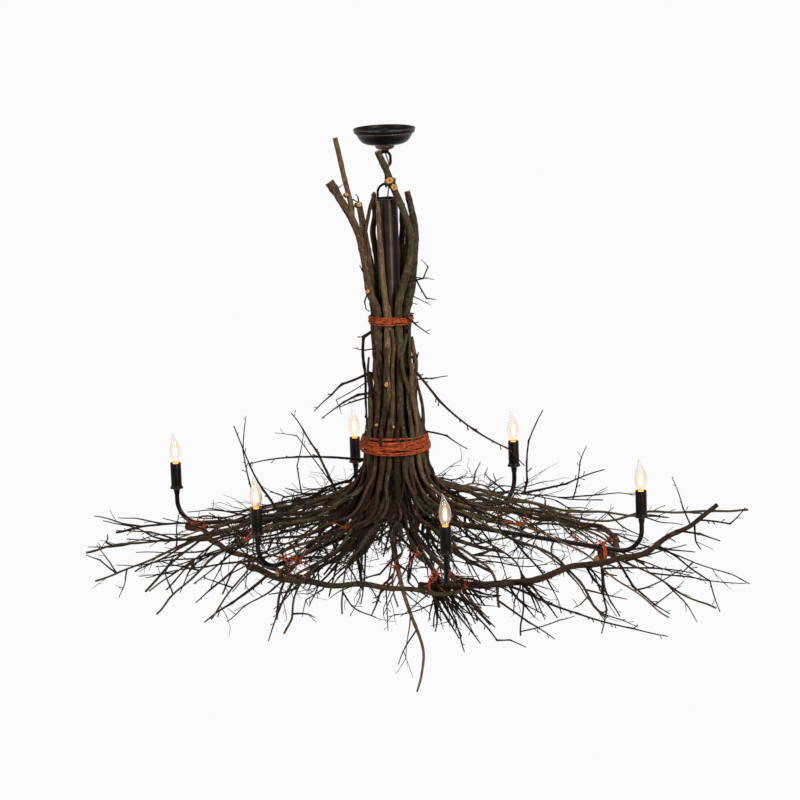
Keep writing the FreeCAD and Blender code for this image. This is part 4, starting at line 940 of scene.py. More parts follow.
def add_rings(shape, rings, levels, slot, tone, closed=False, turned=False):
    """Rings of points joined by faces, all round if closed; levels are the v of the uv at each ring."""
    rows, sides = rings.shape[:2]
    faces, uvs = [], []
    for row in range(rows if closed else rows - 1):
        start, above = row * sides, (row + 1) % rows * sides
        low, high = levels[row], levels[row + 1]
        for side in range(sides):
            other, left, right = (side + 1) % sides, side / sides, (side + 1) / sides
            face = [start + side, start + other, above + other, above + side]
            uv = [(left, low), (right, low), (right, high), (left, high)]
            faces.append(face[::-1] if turned else face)
            uvs.append(uv[::-1] if turned else uv)
    shape.add(rings.reshape(-1, 3), faces, uvs, slot, tone)


def close_end(shape, ring, centre, slot, tone, turned, uv=((0.0, 1.0), (0.05, 1.0), (0.02, 0.0))):
    """A fan over a ring; v of its uv runs from 0 in the middle to 1 at the rim, unless uv says otherwise."""
    sides = len(ring)
    faces = []
    for side in range(sides):
        other = (side + 1) % sides
        faces.append([other, side, sides] if turned else [side, other, sides])
    shape.add(np.vstack([ring, centre[None, :]]), faces, [uv] * sides, slot, tone)


def tube(shape, points, radii, sides, slot=0, tone=0.5, profile=1.0, caps=(None, None), start_v=0.0):
    """A tube along points. profile scales each ring point's radius; caps are the ends' materials, if others."""
    _, firsts, seconds = frames_along(points)
    angles = ring_angles(sides)
    reach = radii[:, None] * (np.ones(sides) * profile)
    rings = points[:, None, :] + reach[..., None] * (
        firsts[:, None, :] * np.cos(angles)[None, :, None] + seconds[:, None, :] * np.sin(angles)[None, :, None])
    add_rings(shape, rings, run_along(points) * MM + start_v, slot, tone)
    for end, cap in zip((0, -1), caps):
        close_end(shape, rings[end], points[end], slot if cap is None else cap, tone, end == 0)


def lathe(shape, outline, centre, sides):
    """A turned form from (radius, height) pairs about an upright line through centre."""
    angles = ring_angles(sides)
    rings = []
    for radius, height in outline:
        ring = np.stack([radius * np.cos(angles), radius * np.sin(angles), np.full(sides, height)], 1)
        rings.append(ring + np.array(centre))
    add_rings(shape, np.array(rings), np.arange(len(rings) + 1) / len(rings), 0, 0.5, closed=True)


def rounded(corners, rounding=0.6, steps=3):
    """An outline with each corner softened by a small curve."""
    corners = [np.array(corner, float) for corner in corners]
    result = []
    for back, here, ahead in zip(corners[-1:] + corners, corners, corners[1:] + corners[:1]):
        start, end = [
            here + unit(other - here) * min(rounding, np.linalg.norm(other - here) * 0.45)
            for other in (back, ahead)]
        for step in range(steps + 1):
            t = step / steps
            result.append(tuple((1 - t) ** 2 * start + 2 * t * (1 - t) * here + t * t * end))
    return result


# ------------------------------------------------------------------------------ bark and twigs

def barked_tube(shape, dice, points, radii, sides, step, tone, slot, caps, crook):
    """A stick of bark: a smooth crooked line, swellings where buds sat, and a rough, uneven section."""
    line, sizes = smooth_line(points, radii, step)
    _, firsts, seconds = frames_along(line)
    phases = [dice.uniform(0, 2 * math.pi) for _ in range(4)]
    run = run_along(line)
    amount = crook * np.clip(np.minimum(run, run[-1] - run) / 40, 0, 1)
    line = line + firsts * (amount * (np.sin(run / 37 + phases[0]) + 0.6 * np.sin(run / 17 + phases[1])))[:, None]
    line = line + seconds * (amount * (np.sin(run / 43 + phases[2]) + 0.6 * np.sin(run / 21 + phases[3])))[:, None]
    swell = np.ones(len(line))
    place = dice.uniform(15, 60)
    while place < run[-1] - 8:
        swell += dice.uniform(0.06, 0.2) * np.exp(-((run - place) / dice.uniform(3, 6)) ** 2)
        place += dice.uniform(28, 90)
    swell *= 1 + 0.035 * np.sin(run / 23 + phases[1])
    noise = np.random.default_rng(dice.randrange(1 << 30))
    ridges = noise.normal(0, 0.03, sides)[None, :] + noise.normal(0, 0.022, (len(line), sides))
    tube(shape, line, sizes, sides, slot, tone, swell[:, None] * (1 + ridges), caps, dice.uniform(0, 40))
    return line, sizes


def bud_twig(shape, dice, start, way, length, thick, tone, forks=True):
    """A fine shoot with kinks at its buds, and smaller shoots off its sides."""
    kinks = 3 if length > 45 else 2
    points, way = [np.array(start)], unit(np.array(way))
    across = unit(np.cross(way, (0, 0, 1.0) if abs(way[2]) < 0.8 else (1.0, 0, 0)))
    side = 1
    for kink in range(kinks):
        way = unit(way + (across * side * dice.uniform(0.05, 0.28) + jitter(dice, 0.14)))
        points.append(points[-1] + way * length / kinks * dice.uniform(0.8, 1.2))
        side = -side
    line, sizes = smooth_line(points, thinned(thick, 0.62, kinks + 1), 9)
    swell = np.ones((len(line), 5))
    swell[-2:] *= 1.35
    tube(shape, line, sizes, 5, 1, tone, swell)
    if forks and length > 40:
        for foot in points[1:]:
            if dice.random() < 0.75:
                out = way * 0.7 + across * dice.choice((-1, 1)) * dice.uniform(0.5, 1.1) + jitter(dice, 0.3)
                bud_twig(shape, dice, foot, out, length * dice.uniform(0.22, 0.5), thick * 0.6, tone, False)


def fits(box, point):
    """Whether a point lies in a box, given as its two corners."""
    return all(low <= value <= high for value, low, high in zip(point, box[0], box[1]))


def shoots(shape, dice, line, sizes, tone, first, last, every, lengths, limits):
    """Fine shoots off a stretch of a stick, to any side, about a given distance apart."""
    ways, firsts, seconds = frames_along(line)
    run = run_along(line)
    place = first * run[-1] + dice.uniform(0, every)
    while place < last * run[-1]:
        index = int(np.searchsorted(run, place)) - 1
        angle = dice.uniform(0, 2 * math.pi)
        out = firsts[index] * math.cos(angle) + seconds[index] * math.sin(angle)
        way = ways[index] * dice.uniform(0.45, 1.1) + out * dice.uniform(0.5, 1.0)
        length = dice.uniform(*lengths)
        if fits(limits, line[index] + unit(way) * length * 1.15):
            bud_twig(shape, dice, line[index], way, length, max(0.9, min(1.7, sizes[index] * 0.45)), tone)
        place += every * dice.uniform(0.5, 1.5)


# How many of a stick's points from its top down are drawn slimmer than the solid, and by what share.
SLIM_TOPS = {
    "leader_left": (6, 0.88), "leader_right": (7, 0.86), "trunk_stick_1": (4, 0.72), "trunk_stick_2": (4, 0.66),
    "trunk_stick_3": (4, 0.85),
}
# The tone of the bark of the sticks that show most: 0 is dark, 1 pale.
TONES = {
    "leader_left": 0.6, "leader_right": 0.45, "trunk_stick_1": 0.95, "trunk_stick_2": 0.2, "trunk_stick_3": 0.4,
}


def from_view(across, down, depth):
    """The point at a distance behind the stem's axis (y) that shows at a place in the picture."""
    roll = math.radians(CAMERA_ROLL)
    right, up = (across - AXIS_PIXEL[0]) / FOCAL_PIXELS, (AXIS_PIXEL[1] - down) / FOCAL_PIXELS
    right, up = right * math.cos(roll) + up * math.sin(roll), up * math.cos(roll) - right * math.sin(roll)
    reach = (depth + CAMERA_BACK) / (AHEAD + DOWN * up)
    return np.array([right * reach, depth, CAMERA_HEIGHT + reach * (up * AHEAD - DOWN)])


def in_view(points):
    """Where points show in the picture, as (across, down) rows."""
    x, y, z = points[:, 0], points[:, 1] + CAMERA_BACK, points[:, 2] - CAMERA_HEIGHT
    depth, up = y * AHEAD - z * DOWN, y * DOWN + z * AHEAD
    roll = math.radians(CAMERA_ROLL)
    right = x * math.cos(roll) - up * math.sin(roll)
    up = x * math.sin(roll) + up * math.cos(roll)
    return np.stack([AXIS_PIXEL[0] + FOCAL_PIXELS * right / depth, AXIS_PIXEL[1] - FOCAL_PIXELS * up / depth], 1)


# Places shown within so many pixels count as one; a pixel further off counts as so much further back.
CLOSE_BY = 3.0
BACK_PER_PIXEL = 40


def foremost(shown, places, across, down):
    """The index of the place nearest the camera that shows at a point of the picture, or close by."""
    offset = np.hypot(shown[:, 0] - across, shown[:, 1] - down)
    return int(np.argmin(np.maximum(offset, CLOSE_BY) * BACK_PER_PIXEL + places[:, 1]))


def wood_pieces(sticks):
    """One object of bark, cut ends and fine shoots for each wooden node; the lines of all the sticks."""
    dice = random.Random(29)
    limits = ([value / MM - 4 for value in cad_box[0]], [value / MM + 4 for value in cad_box[1]])
    shapes, lines = {}, []
    for stick in sticks:
        shape = shapes.setdefault(stick["node"], Shape())
        stick_of_bark(shape, dice, stick, limits, lines)
    seen_twigs(shapes, dice, lines)
    loose_sticks(shapes, dice, lines, limits)
    for node, knots in KNOTS.items():
        for knot in knots:
            cut_knot(shapes[node], *knot)
    for node in sorted(shapes):
        dress(shapes[node].make(node + "_bark", BARK, TWIG_BARK, CUT_WOOD), "fixture", "bark", node)
    return lines


def stick_of_bark(shape, dice, stick, limits, lines):
    """A stick, its twigs and their shoots; lines gathers each line for what grows on it later."""
    name, points, radii = stick["name"], list(stick["points"]), list(stick["radii"])
    skirt, rim = name.startswith("skirt"), name.startswith("edge")
    inner = not skirt and not rim
    # Skirt sticks are drawn darker on average than the others, as painted shade under the lower binding and between
    # the sticks.
    tone = min(1.0, max(0.0, dice.gauss(0.34 if skirt else 0.42, 0.3)))
    tone = TONES.get(name, tone)
    if skirt:
        points, radii = as_bundled(dice, name, points, radii)
    slimmed, share = SLIM_TOPS.get(name, (0, 1.0))
    radii[:slimmed] = [radius * share for radius in radii[:slimmed]]
    if name == "leader_left":
        radii[0] *= 1.3
    if name in LOW_ENDS:
        lost, places, thicks = LOW_ENDS[name]
        points = points[:-lost] + [from_view(*place) for place in places]
        radii = radii[:-lost] + thicks
    if name in HIGH_TOPS:
        points = [from_view(*place) for place in HIGH_TOPS[name]] + points
        radii = [5.0, 5.5] + radii
    if rim:
        radii = [radius * 0.86 for radius in radii]
    sides, step = (9, 8) if skirt else (14, 5)
    caps = (None if skirt else 2, 2)
    line, sizes = barked_tube(shape, dice, points, radii, sides, step, tone, 0, caps, 1.3 if inner else 3.6)
    lines.append((stick["node"], line, sizes, tone))
    if inner:
        last = 0.86 if name == "trunk_stick_1" else 0.97
        shoots(shape, dice, line, sizes, tone, 0.74, last, 40, (25, 95), limits)
    else:
        shoots(shape, dice, line, sizes, tone, 0.32, 0.7, 90 if rim else 60, (22, 90), limits)
        shoots(shape, dice, line, sizes, tone, 0.7, 0.98, 120, (14, 60), limits)
    for kind, route, thicks in stick["twigs"]:
        foot = line[int(np.argmin(np.linalg.norm(line - np.array(route[0]), axis=1)))]
        if kind == "long":
            route = [foot] + [np.array(point, float) for point in route[1:]]
            thicks = [radius * (0.6 if inner else 0.85) for radius in thicks]
            spurred_twig(shape, dice, route, thicks, tone * 0.8, tone)
        elif kind == "limb":
            thicks = [radius * 0.86 for radius in thicks]
            barked_tube(shape, dice, route, thicks, 14, 6, tone + 0.25, 0, (None, 2), 1.0)
        else:
            route = less_steep(foot, route, name in LOW_ENDS)
            twig, widths = barked_tube(shape, dice, route, thicks, 7, 6, tone, 1, (None, 2), 3.0)
            shoots(shape, dice, twig, widths, tone, 0.12, 0.95, 60, (16, 50), limits)


LOWEST_TIP = -1062.0
# Lower ends that hang as in the picture: points left out, places across and down with the distance behind the
# stem's axis, and radii.
LOW_ENDS = {
    "trunk_stick_1": (2, [
        (400.4, 585, -120), (410, 612, -148), (418.8, 634, -168), (424, 653.4, -182), (422.5, 673, -190),
        (417, 692, -195)], [4.2, 3.6, 3.2, 2.8, 2.4, 1.9]),
    "leader_left": (3, [(371, 531, -46), (357, 551, -64), (347.5, 567, -78)], [6.2, 5.6, 5.2]),
}
# Tops that reach above the solid's, likewise.
HIGH_TOPS = {
    "trunk_stick_5": [(402.5, 204, 20), (402, 216, 30)], "trunk_stick_7": [(373.6, 194, 30), (374.8, 214, 34)],
}


def less_steep(foot, points, flat=False):
    """A twig's points from its foot on, kept from hanging down at the rim and below the lowest tip."""
    share = 0.4 if flat or math.hypot(*points[-1][:2]) > 330 else 1.0
    moves = [np.array(point) - points[0] for point in points]
    return [(foot[0] + x, foot[1] + y, max(foot[2] + z * share, LOWEST_TIP)) for x, y, z in moves]


# Outer sticks that carry a long twig above the lower binding, so they stay as tall as the solids.
KEPT_TOPS = ("skirt_stick_1_16", "skirt_stick_1_17", "skirt_stick_1_23")


def as_bundled(dice, name, points, radii):
    """A skirt stick in the bundle: the outer ring's tops end by the lower binding, the next ring's reach up."""
    held = next(index for index, point in enumerate(points) if abs(point[2] - HELD_LEVEL) < 1)
    place = bearing_of(points[held])
    slim = dice.uniform(0.5, 0.9)
    below, below_radii = [], []
    for point, radius in zip(points[held + 1:], radii[held + 1:]):
        reach = math.hypot(point[0], point[1])
        loose = min(13, max(0, reach - 62) * 0.22)
        x, y, z = jitter(dice, loose)
        below.append((point[0] + x, point[1] + y, point[2] + z * 0.7))
        below_radii.append(radius * (1 if reach < 65 else slim))
    if name.startswith("skirt_stick_2") and dice.random() < 0.4:
        return points[:held + 1] + below, [radius * 0.85 for radius in radii[:held + 1]] + below_radii
    if name.startswith("skirt_stick_1"):
        level = dice.uniform(-540, -440) if dice.random() < 0.45 else dice.uniform(-606, -566)
        upper = [around(49.5 - 0.03 * (level + 540), place + dice.uniform(-5, 5), level)]
        upper += [around(54.6, place, LOWER_LEVEL + 42), around(57.4, place, LOWER_LEVEL + 22)]
        upper_radii = [dice.uniform(1.2, 2.4), 4.2, 5.3]
    else:
        thick = dice.uniform(2.6, 5.0)
        upper = [around(radius, place + dice.uniform(-7, 7), level) for radius, level in (
            (42.4, dice.uniform(-445, -398)), (43.4, -482 + dice.uniform(-9, 9)), (45.2, -556))]
        upper.append(around(46.9, place, HELD_LEVEL))
        upper_radii = [thick * 0.8, thick, thick * 1.1, 5.8]
    if name in KEPT_TOPS:
        return points[:held + 1] + below, [radius * 0.8 for radius in radii[:held + 1]] + below_radii
    return upper + below, upper_radii + below_radii


# How many loose sticks start at the lower binding, and how many may lie across the others.
FROM_BINDING = 64
ACROSS_SKIRT = 130


def loose_sticks(shapes, dice, lines, limits):
    """Thin crooked sticks pushed in between the others: some from the binding, some lying across the skirt."""
    for _ in range(FROM_BINDING):
        place = dice.uniform(0, 360)
        far = place + dice.gauss(0, 30)
        reach = dice.uniform(90, 300)
        fall = -800 - dice.random() * (250 - 0.5 * reach)
        route = [np.array(around(dice.uniform(46, 60), place, -652.0))]
        for share in (0.2, 0.42, 0.6, 0.8, 1.0):
            out, level = 56 + (reach - 56) * share ** 1.5, -664 + (fall + 664) * share ** 0.85
            shift = jitter(dice, 17 * min(1, share * 2))
            route.append(np.array(around(out, place + (far - place) * share, level)) + shift)
        loose_stick(shapes[sector(far % 360)], dice, route, dice.uniform(2.0, 5.4))
    skirt = [entry for entry in lines if entry[0].startswith("skirt")]
    for _ in range(ACROSS_SKIRT):
        node, line, sizes, tone = skirt[dice.randrange(len(skirt))]
        low, high = np.searchsorted(np.hypot(line[:, 0], line[:, 1]), (85, 330))
        index = dice.randrange(int(low), max(int(high), int(low) + 1))
        way = math.atan2(line[index][1], line[index][0]) + dice.choice((-1, 1)) * dice.uniform(0.5, 1.7)
        route, length = [line[index]], dice.uniform(50, 180)
        slope = dice.uniform(-0.7, 0.2)
        for _ in range(4):
            way += dice.uniform(-0.55, 0.55)
            step = np.array([math.cos(way), math.sin(way), slope + dice.uniform(-0.35, 0.35)]) * length / 4
            route.append(route[-1] + step)
        if max(point[2] for point in route) < -735 and all(fits(limits, point) for point in route):
            loose_stick(shapes[node], dice, route, dice.uniform(1.3, 2.6))


def loose_stick(shape, dice, route, thick):
    """A thin stick with kinks at its points, spurs, and now and then a fork."""
    tone = min(1.0, max(0.0, dice.gauss(0.35, 0.25)))
    spurred_twig(shape, dice, route, thinned(thick, 0.62, len(route)), tone, tone)
    for fork in (route[-2], route[-3]):
        if dice.random() < 0.5:
            way = unit(route[-1] - fork) + jitter(dice, 0.8)
            bud_twig(shape, dice, fork, way, dice.uniform(30, 90), max(0.8, thick * 0.36), tone)


def seen_twigs(shapes, dice, lines):
    """The twigs that stand out in the picture, each from the stick that it seems to grow from."""
    owners = np.concatenate([np.full(len(line), index) for index, (node, line, sizes, tone) in enumerate(lines)])
    places = np.concatenate([line for node, line, sizes, tone in lines])
    shown = in_view(places)
    for lean, thick, route in SEEN_TWIGS + sprays(dice):
        found = foremost(shown, places, *route[0])
        node, line, sizes, tone = lines[owners[found]]
        points, run = [places[found]], 0.0
        for before, after in zip(route, route[1:]):
            run += math.dist(before, after) * PIXEL
            points.append(from_view(*after, points[0][1] + lean * run + dice.uniform(-5, 5)))
        spurred_twig(shapes[node], dice, points, thinned(thick, 0.55, len(points)), tone * 0.8, tone)


def spurred_twig(shape, dice, points, radii, tone, spur_tone):
    """A twig with sharp bends at its points, a knuckle at each, a bud at its tip and spurs along it."""
    line, sizes = [], []
    for index, (start, end) in enumerate(zip(points, points[1:])):
        length = np.linalg.norm(end - start)
        count = max(2, int(length / 9))
        bow = np.cross(end - start, (0.3, 1.0, 0.2))
        bow = bow / max(np.linalg.norm(bow), 1e-6) * dice.uniform(-0.035, 0.035) * length
        for step in range(count):
            share = step / count
            line.append(start + (end - start) * share + bow * math.sin(math.pi * share))
            knuckle = 1.3 if step == 0 and index else 1.0
            sizes.append((radii[index] + (radii[index + 1] - radii[index]) * share) * knuckle)
    line, sizes = np.array(line + [points[-1]]), np.array(sizes + [radii[-1]])
    noise = np.random.default_rng(dice.randrange(1 << 30))
    profile = 1 + noise.normal(0, 0.07, (len(line), 7))
    tube(shape, line, sizes, 7, 1, tone, profile, start_v=dice.uniform(0, 30))
    ways, firsts, seconds = frames_along(line)
    for index in range(2, len(line) - 1):
        if dice.random() > 0.3:
            continue
        angle = dice.uniform(0, 2 * math.pi)
        out = firsts[index] * math.cos(angle) + seconds[index] * math.sin(angle)
        length = dice.uniform(5, 16)
        end = line[index] + (out + ways[index] * 0.8) / 1.28 * length
        thick = min(1.3, sizes[index] * 0.6)
        middle = (line[index] + end) / 2
        tube(shape, np.array([line[index], middle, end - (end - middle) * 0.3, end]),
             np.array([thick, thick * 0.8, thick * 1.25, thick * 0.4]), 5, 1, spur_tone)


# Bunches of twigs under the rim: where they start in the picture, how many, the slants they take in degrees
# from straight down, and their lengths in pixels. None is kept that ends below the lowest row.
LOWEST_ROW = 655
SPRAYS = [
    ((434, 588), 20, (24, 62), (26, 72)),
    ((456, 588), 10, (30, 75), (20, 62)),
    ((440, 592), 5, (-25, 20), (20, 46)),
    ((515, 585), 7, (35, 80), (18, 60)),
    ((590, 574), 6, (20, 80), (18, 50)),
    ((395, 583), 2, (-35, 10), (20, 50)),
    ((320, 575), 3, (-70, -10), (15, 50)),
]


def sprays(dice):
    """The twigs of each bunch, in the same form as those read off the picture."""
    twigs = []
    for (across, down), count, slants, lengths in SPRAYS:
        for _ in range(count):
            slant, length = math.radians(dice.uniform(*slants)), dice.uniform(*lengths)
            start = (across + dice.uniform(-8, 8), down + dice.uniform(-14, 3))
            route = [start]
            for _ in range(3):
                slant += dice.uniform(-0.22, 0.22)
                last = route[-1]
                route.append((last[0] + math.sin(slant) * length * 0.34, last[1] + math.cos(slant) * length * 0.34))
            if route[-1][1] < LOWEST_ROW:
                twigs.append((-0.2, dice.uniform(1.4, 3.0), route))
    return twigs


# Twigs read off the picture, as (lean backwards, radius at the foot, places across and down in its pixels).
SEEN_TWIGS = [
    (-0.1, 1.6, [(357, 200), (357.8, 197), (355.6, 194)]),
    (-0.2, 1.5, [(357, 201), (353, 199.5), (351, 201)]),
    (-0.2, 1.6, [(344, 203), (342.6, 207), (344, 210)]),
    (-0.1, 1.7, [(365.5, 277), (362, 270), (359.5, 265)]),
    (-0.1, 1.7, [(367, 292), (364.5, 302), (366, 309), (369.5, 312)]),
    (-0.2, 1.5, [(408, 286), (412, 287), (410.6, 285)]),
    (-0.2, 1.5, [(409, 299), (411.4, 303), (410, 304)]),
    (-0.2, 1.6, [(409, 312), (413.6, 313.6), (411, 317)]),
    (-0.2, 1.5, [(339, 188), (343, 184.4)]),
    (-0.1, 1.6, [(415, 233), (417.4, 236)]),
    (-0.1, 1.4, [(389, 292), (394, 286), (400, 278)]),
    (0.1, 3.6, [(373, 327), (363.5, 337), (364, 365), (365.5, 395), (367, 424), (370, 437)]),
    (-0.1, 1.7, [(378, 347.4), (364, 350.4), (353.7, 348)]),
    (-0.2, 1.3, [(423.6, 278), (434.3, 279.6)]),
    (-0.2, 1.9, [(410.5, 272), (426.6, 298.5), (435.8, 299.8)]),
    (-0.2, 1.3, [(426.6, 298.5), (430.5, 305)]),
    (-0.2, 2.2, [(401.6, 313), (414, 323), (429.2, 334)]),
    (-0.3, 2.6, [(416, 363), (418.4, 352.5)]),
    (0.3, 1.9, [(416, 381), (432, 378.6), (447.6, 376)]),
    (0.2, 2.2, [(424, 429), (447, 436), (467.5, 449)]),
    (0.2, 1.3, [(342, 383.7), (336, 400), (341.6, 414)]),
    (-0.2, 1.9, [(364, 396.4), (352, 402), (340, 407)]),
    (0.1, 1.9, [(251, 488.8), (243, 450), (246, 415.8)]),
    (0.0, 1.4, [(313, 448), (297, 436), (275, 433)]),
    (0.1, 1.7, [(301, 494), (297, 466), (304, 430.6)]),
    (-0.2, 1.9, [(112, 566), (100, 560), (85.7, 554.8)]),
    (-0.1, 1.8, [(110.6, 561), (96.6, 545)]),
    (0.0, 1.8, [(131, 544.6), (110, 547), (87.7, 547)]),
    (-0.2, 2.2, [(174.4, 535), (150, 532), (116.4, 530.6)]),
    (-0.1, 2.4, [(195, 532), (165, 541), (126.6, 539)]),
    (-0.3, 2.4, [(252, 558.7), (205, 567), (152.7, 576)]),
    (-0.3, 2.6, [(252, 538), (224, 560), (193.5, 584)]),
    (-0.3, 2.4, [(233, 569), (212, 588), (195.4, 603)]),
    (-0.3, 3.2, [(265, 581.6), (232, 603), (204.4, 622.4)]),
    (-0.4, 1.8, [(344, 563), (322, 590), (306, 600), (302.2, 617)]),
    (-0.4, 1.6, [(355, 580), (342, 590), (329.8, 598.4)]),
    (-0.3, 2.0, [(388, 547), (386, 590), (388, 631)]),
    (-0.4, 1.7, [(429, 595), (414, 606), (400.4, 616.5)]),
    (-0.4, 2.6, [(435, 589), (448, 611), (460, 634), (464.4, 652)]),
    (-0.4, 2.3, [(443, 598), (462, 620), (480.6, 643.6)]),
    (-0.4, 2.2, [(456.8, 593.8), (478, 618), (497, 640.4), (510, 640), (526, 647.4)]),
    (-0.4, 2.2, [(467.6, 600), (480, 610), (489.3, 618.7)]),
    (-0.3, 2.4, [(500, 600), (528, 622), (555, 639.4)]),
    (-0.3, 1.5, [(540, 631), (560, 620), (575, 616)]),
    (-0.2, 1.5, [(606.8, 609), (622, 620), (638.3, 627.3)]),
    (-0.2, 1.5, [(655, 605), (668, 595), (684, 581)]),
    (-0.1, 2.6, [(681.6, 530.5), (700, 534), (720.4, 541)]),
    (-0.1, 1.8, [(695, 532), (683, 508), (672, 477)]),
    (-0.1, 2.2, [(713, 537), (730, 524), (745.4, 507.6)]),
    (-0.2, 2.4, [(655, 541), (676.5, 556.5), (710, 581), (720, 612)]),
    (-0.1, 2.4, [(600, 573), (650, 568), (693, 573)]),
    (-0.1, 1.9, [(651, 571), (680, 576), (707, 580.5), (746, 583.6)]),
    (0.1, 1.7, [(575, 483.7), (580, 462), (586.6, 446)]),
    (-0.1, 1.9, [(520, 530), (560, 514), (590, 515)]),
    (-0.1, 1.7, [(570, 535), (592, 525), (614, 507)]),
]


def cut_knot(shape, centre, way, radius, length):
    """The stump of a branch sawn off close: a short collar of bark with a cut face."""
    way, centre = unit(np.array(way, float)), np.array(centre, float)
    points = [centre - way * length, centre - way * length * 0.3, centre]
    line, sizes = smooth_line(points, [radius * 1.35, radius * 1.12, radius], 2.5)
    angles = ring_angles(14)
    uneven = 1 + 0.13 * np.sin(angles * 2 + centre[0]) + 0.07 * np.sin(angles * 5 + centre[2])
    tube(shape, line, sizes, 14, 0, 0.5, np.tile(uneven, (len(line), 1)), (None, 2))


# The stumps that show: centre of the cut face, the way it faces, its radius and how deep its collar goes.
KNOTS = {
    "leader_right": [
        (from_view(389.6, 180.5, -48), (-0.1, -1, 0.35), 7.8, 11),
        (from_view(394.2, 187.2, -47), (0.25, -1, -0.05), 7.0, 10),
    ],
    "leader_left": [
        (from_view(359.2, 204.6, -42), (0.3, -1, 0.3), 5.0, 12),
        (from_view(346.5, 194.5, -38), (0.2, -1, 0.5), 4.2, 7),
        (from_view(367.7, 291.5, -44), (-0.2, -1, 0.5), 4.2, 9),
    ],
    "trunk_sticks": [
        (from_view(386.5, 384.5, -52), (0, -1, 0.15), 4.6, 12),
        (from_view(376.4, 425, -62), (0, -1, 0.2), 2.8, 12),
        (from_view(393.6, 427, -66), (0, -1, 0.2), 2.6, 12),
        (from_view(367, 430, -30), (-0.6, -0.8, 0.3), 3.2, 9),
        (from_view(416, 357, -14), (0.7, -0.7, 0.3), 3.0, 9),
    ],
    "edge_stick_front_left": [
        (from_view(277, 574, -282), (-0.35, -0.9, 0.12), 5.0, 16),
    ],
}


# ------------------------------------------------------------------------------ bindings

def strand_turns(shape, dice, radius, middle, half, turns, thick, wander, crossings):
    """A strand wound turn by turn round the bundle, wandering, with some turns thrown across the others."""
    def spread_at(level):
        """The winding's radius; the lower one narrows upwards with the bundle."""
        return radius - 0.22 * max(0.0, level - LOWER_LEVEL) if radius > 60 else radius

    steps = 72
    rise = [dice.uniform(-1, 1) * wander for _ in range(turns + 1)]
    tilts = [dice.uniform(-1, 1) * wander * 1.4 for _ in range(turns + 1)]
    points = []
    for step in range(turns * steps + 1):
        turn = step / steps
        low = int(min(turn, turns - 1))
        share = turn - low
        drift, tilt = [ends[low] * (1 - share) + ends[low + 1] * share for ends in (rise, tilts)]
        angle = 2 * math.pi * turn + math.radians(285)
        level = middle - half + 2 * half * turn / turns + drift + tilt * math.sin(angle)
        out = spread_at(level) + 0.9 * math.sin(angle * 7 + turn * 2.3) + 0.6 * math.sin(angle * 11) + 0.7 * (low % 2)
        points.append((out * math.cos(angle), out * math.sin(angle), level))
    strand(shape, points, thick)
    for _ in range(crossings):
        start = dice.uniform(0, 2 * math.pi)
        sweep = dice.uniform(1.2, 2.8)
        lift = dice.choice((-1, 1)) * half * dice.uniform(0.4, 0.95)
        points = []
        for step in range(31):
            angle = start + sweep * step / 30
            level = middle - lift + 2 * lift * step / 30
            out = spread_at(level) + thick * 1.6 * math.sin(math.pi * step / 30) + 0.5 * math.sin(step)
            points.append((out * math.cos(angle), out * math.sin(angle), level))
        strand(shape, points, thick * 0.9)


def strand(shape, points, thick):
    """A twisted strand: three plies whose ridges wind round it."""
    line, sizes = smooth_line(points, np.full(len(points), thick), 2.2)
    plies = 1 + 0.16 * np.cos(3 * ring_angles(9)[None, :] - run_along(line)[:, None] * 2 * math.pi / 11)
    tube(shape, line, sizes, 9, 0, 0.5, plies)


LASHING_RADIUS = 1.15
TUFT_RADIUS = 0.95


def rim_wraps(shape, dice, rings):
    """Each lashing on the rim as four turns of wire, with three ends that stick out."""
    for ring in rings:
        corners = np.array(ring)
        centre = corners.mean(0)
        normal = unit(np.cross(corners[1] - corners[0], corners[2] - corners[1]))
        for turn in range(4):
            spoke = corners - centre
            closed = np.vstack([spoke, spoke[:2]]) * dice.uniform(0.97, 1.02)
            closed = closed + centre + normal * (turn - 1.5) * 2.1
            tube(shape, *smooth_line(closed, [LASHING_RADIUS] * len(closed), 3), 6)
        for _ in range(3):
            start = corners[dice.randrange(8)]
            end = start + unit(start - centre) * dice.uniform(9, 20) + normal * dice.uniform(-16, 16)
            half = (start + end) / 2 + normal * dice.uniform(-5, 5)
            tube(shape, *smooth_line([start, half, end], [1.1, 1.0, 0.8], 3), 6)


# Places in the picture, across and down, where a wire ties twigs together and its ends stick out.
TUFTS = [
    (195, 518), (203, 526), (283, 560), (300, 560), (350, 530), (415, 555), (433, 570), (438, 580), (465, 580),
    (580, 535), (590, 546), (612, 540), (520, 520), (247, 540), (398, 566), (452, 572),
]


def tufts(shape, dice, lines):
    """A few turns of thin wire round the stick that shows at each place, with loose ends that splay out."""
    places = np.concatenate([line for node, line, sizes, tone in lines])
    thicks = np.concatenate([sizes for node, line, sizes, tone in lines])
    ways = np.concatenate([frames_along(line)[0] for node, line, sizes, tone in lines])
    shown = in_view(places)
    for place in TUFTS:
        found = foremost(shown, places, *place)
        centre, way, reach = places[found], ways[found], thicks[found] + 1.2
        side = unit(np.cross(way, (0, 0, 1.0)))
        rise = np.cross(side, way)
        coil = []
        for step in range(49):
            angle = 2 * math.pi * 4 * step / 48
            out = (side * math.cos(angle) + rise * math.sin(angle)) * reach
            coil.append(centre + way * (step / 48 - 0.5) * 7 + out)
        tube(shape, np.array(coil), np.full(len(coil), TUFT_RADIUS), 6)
        for _ in range(5):
            out = unit(np.array([dice.uniform(-1, 1), dice.uniform(-1, 0.2), dice.uniform(-0.6, 1)]))
            length = dice.uniform(12, 34)
            start = centre + out * reach * 0.6
            route = [start, start + out * length * 0.5, start + (out + jitter(dice, 0.35)) * length]
            tube(shape, *smooth_line(route, [TUFT_RADIUS, 0.9, 0.7], 3), 6)


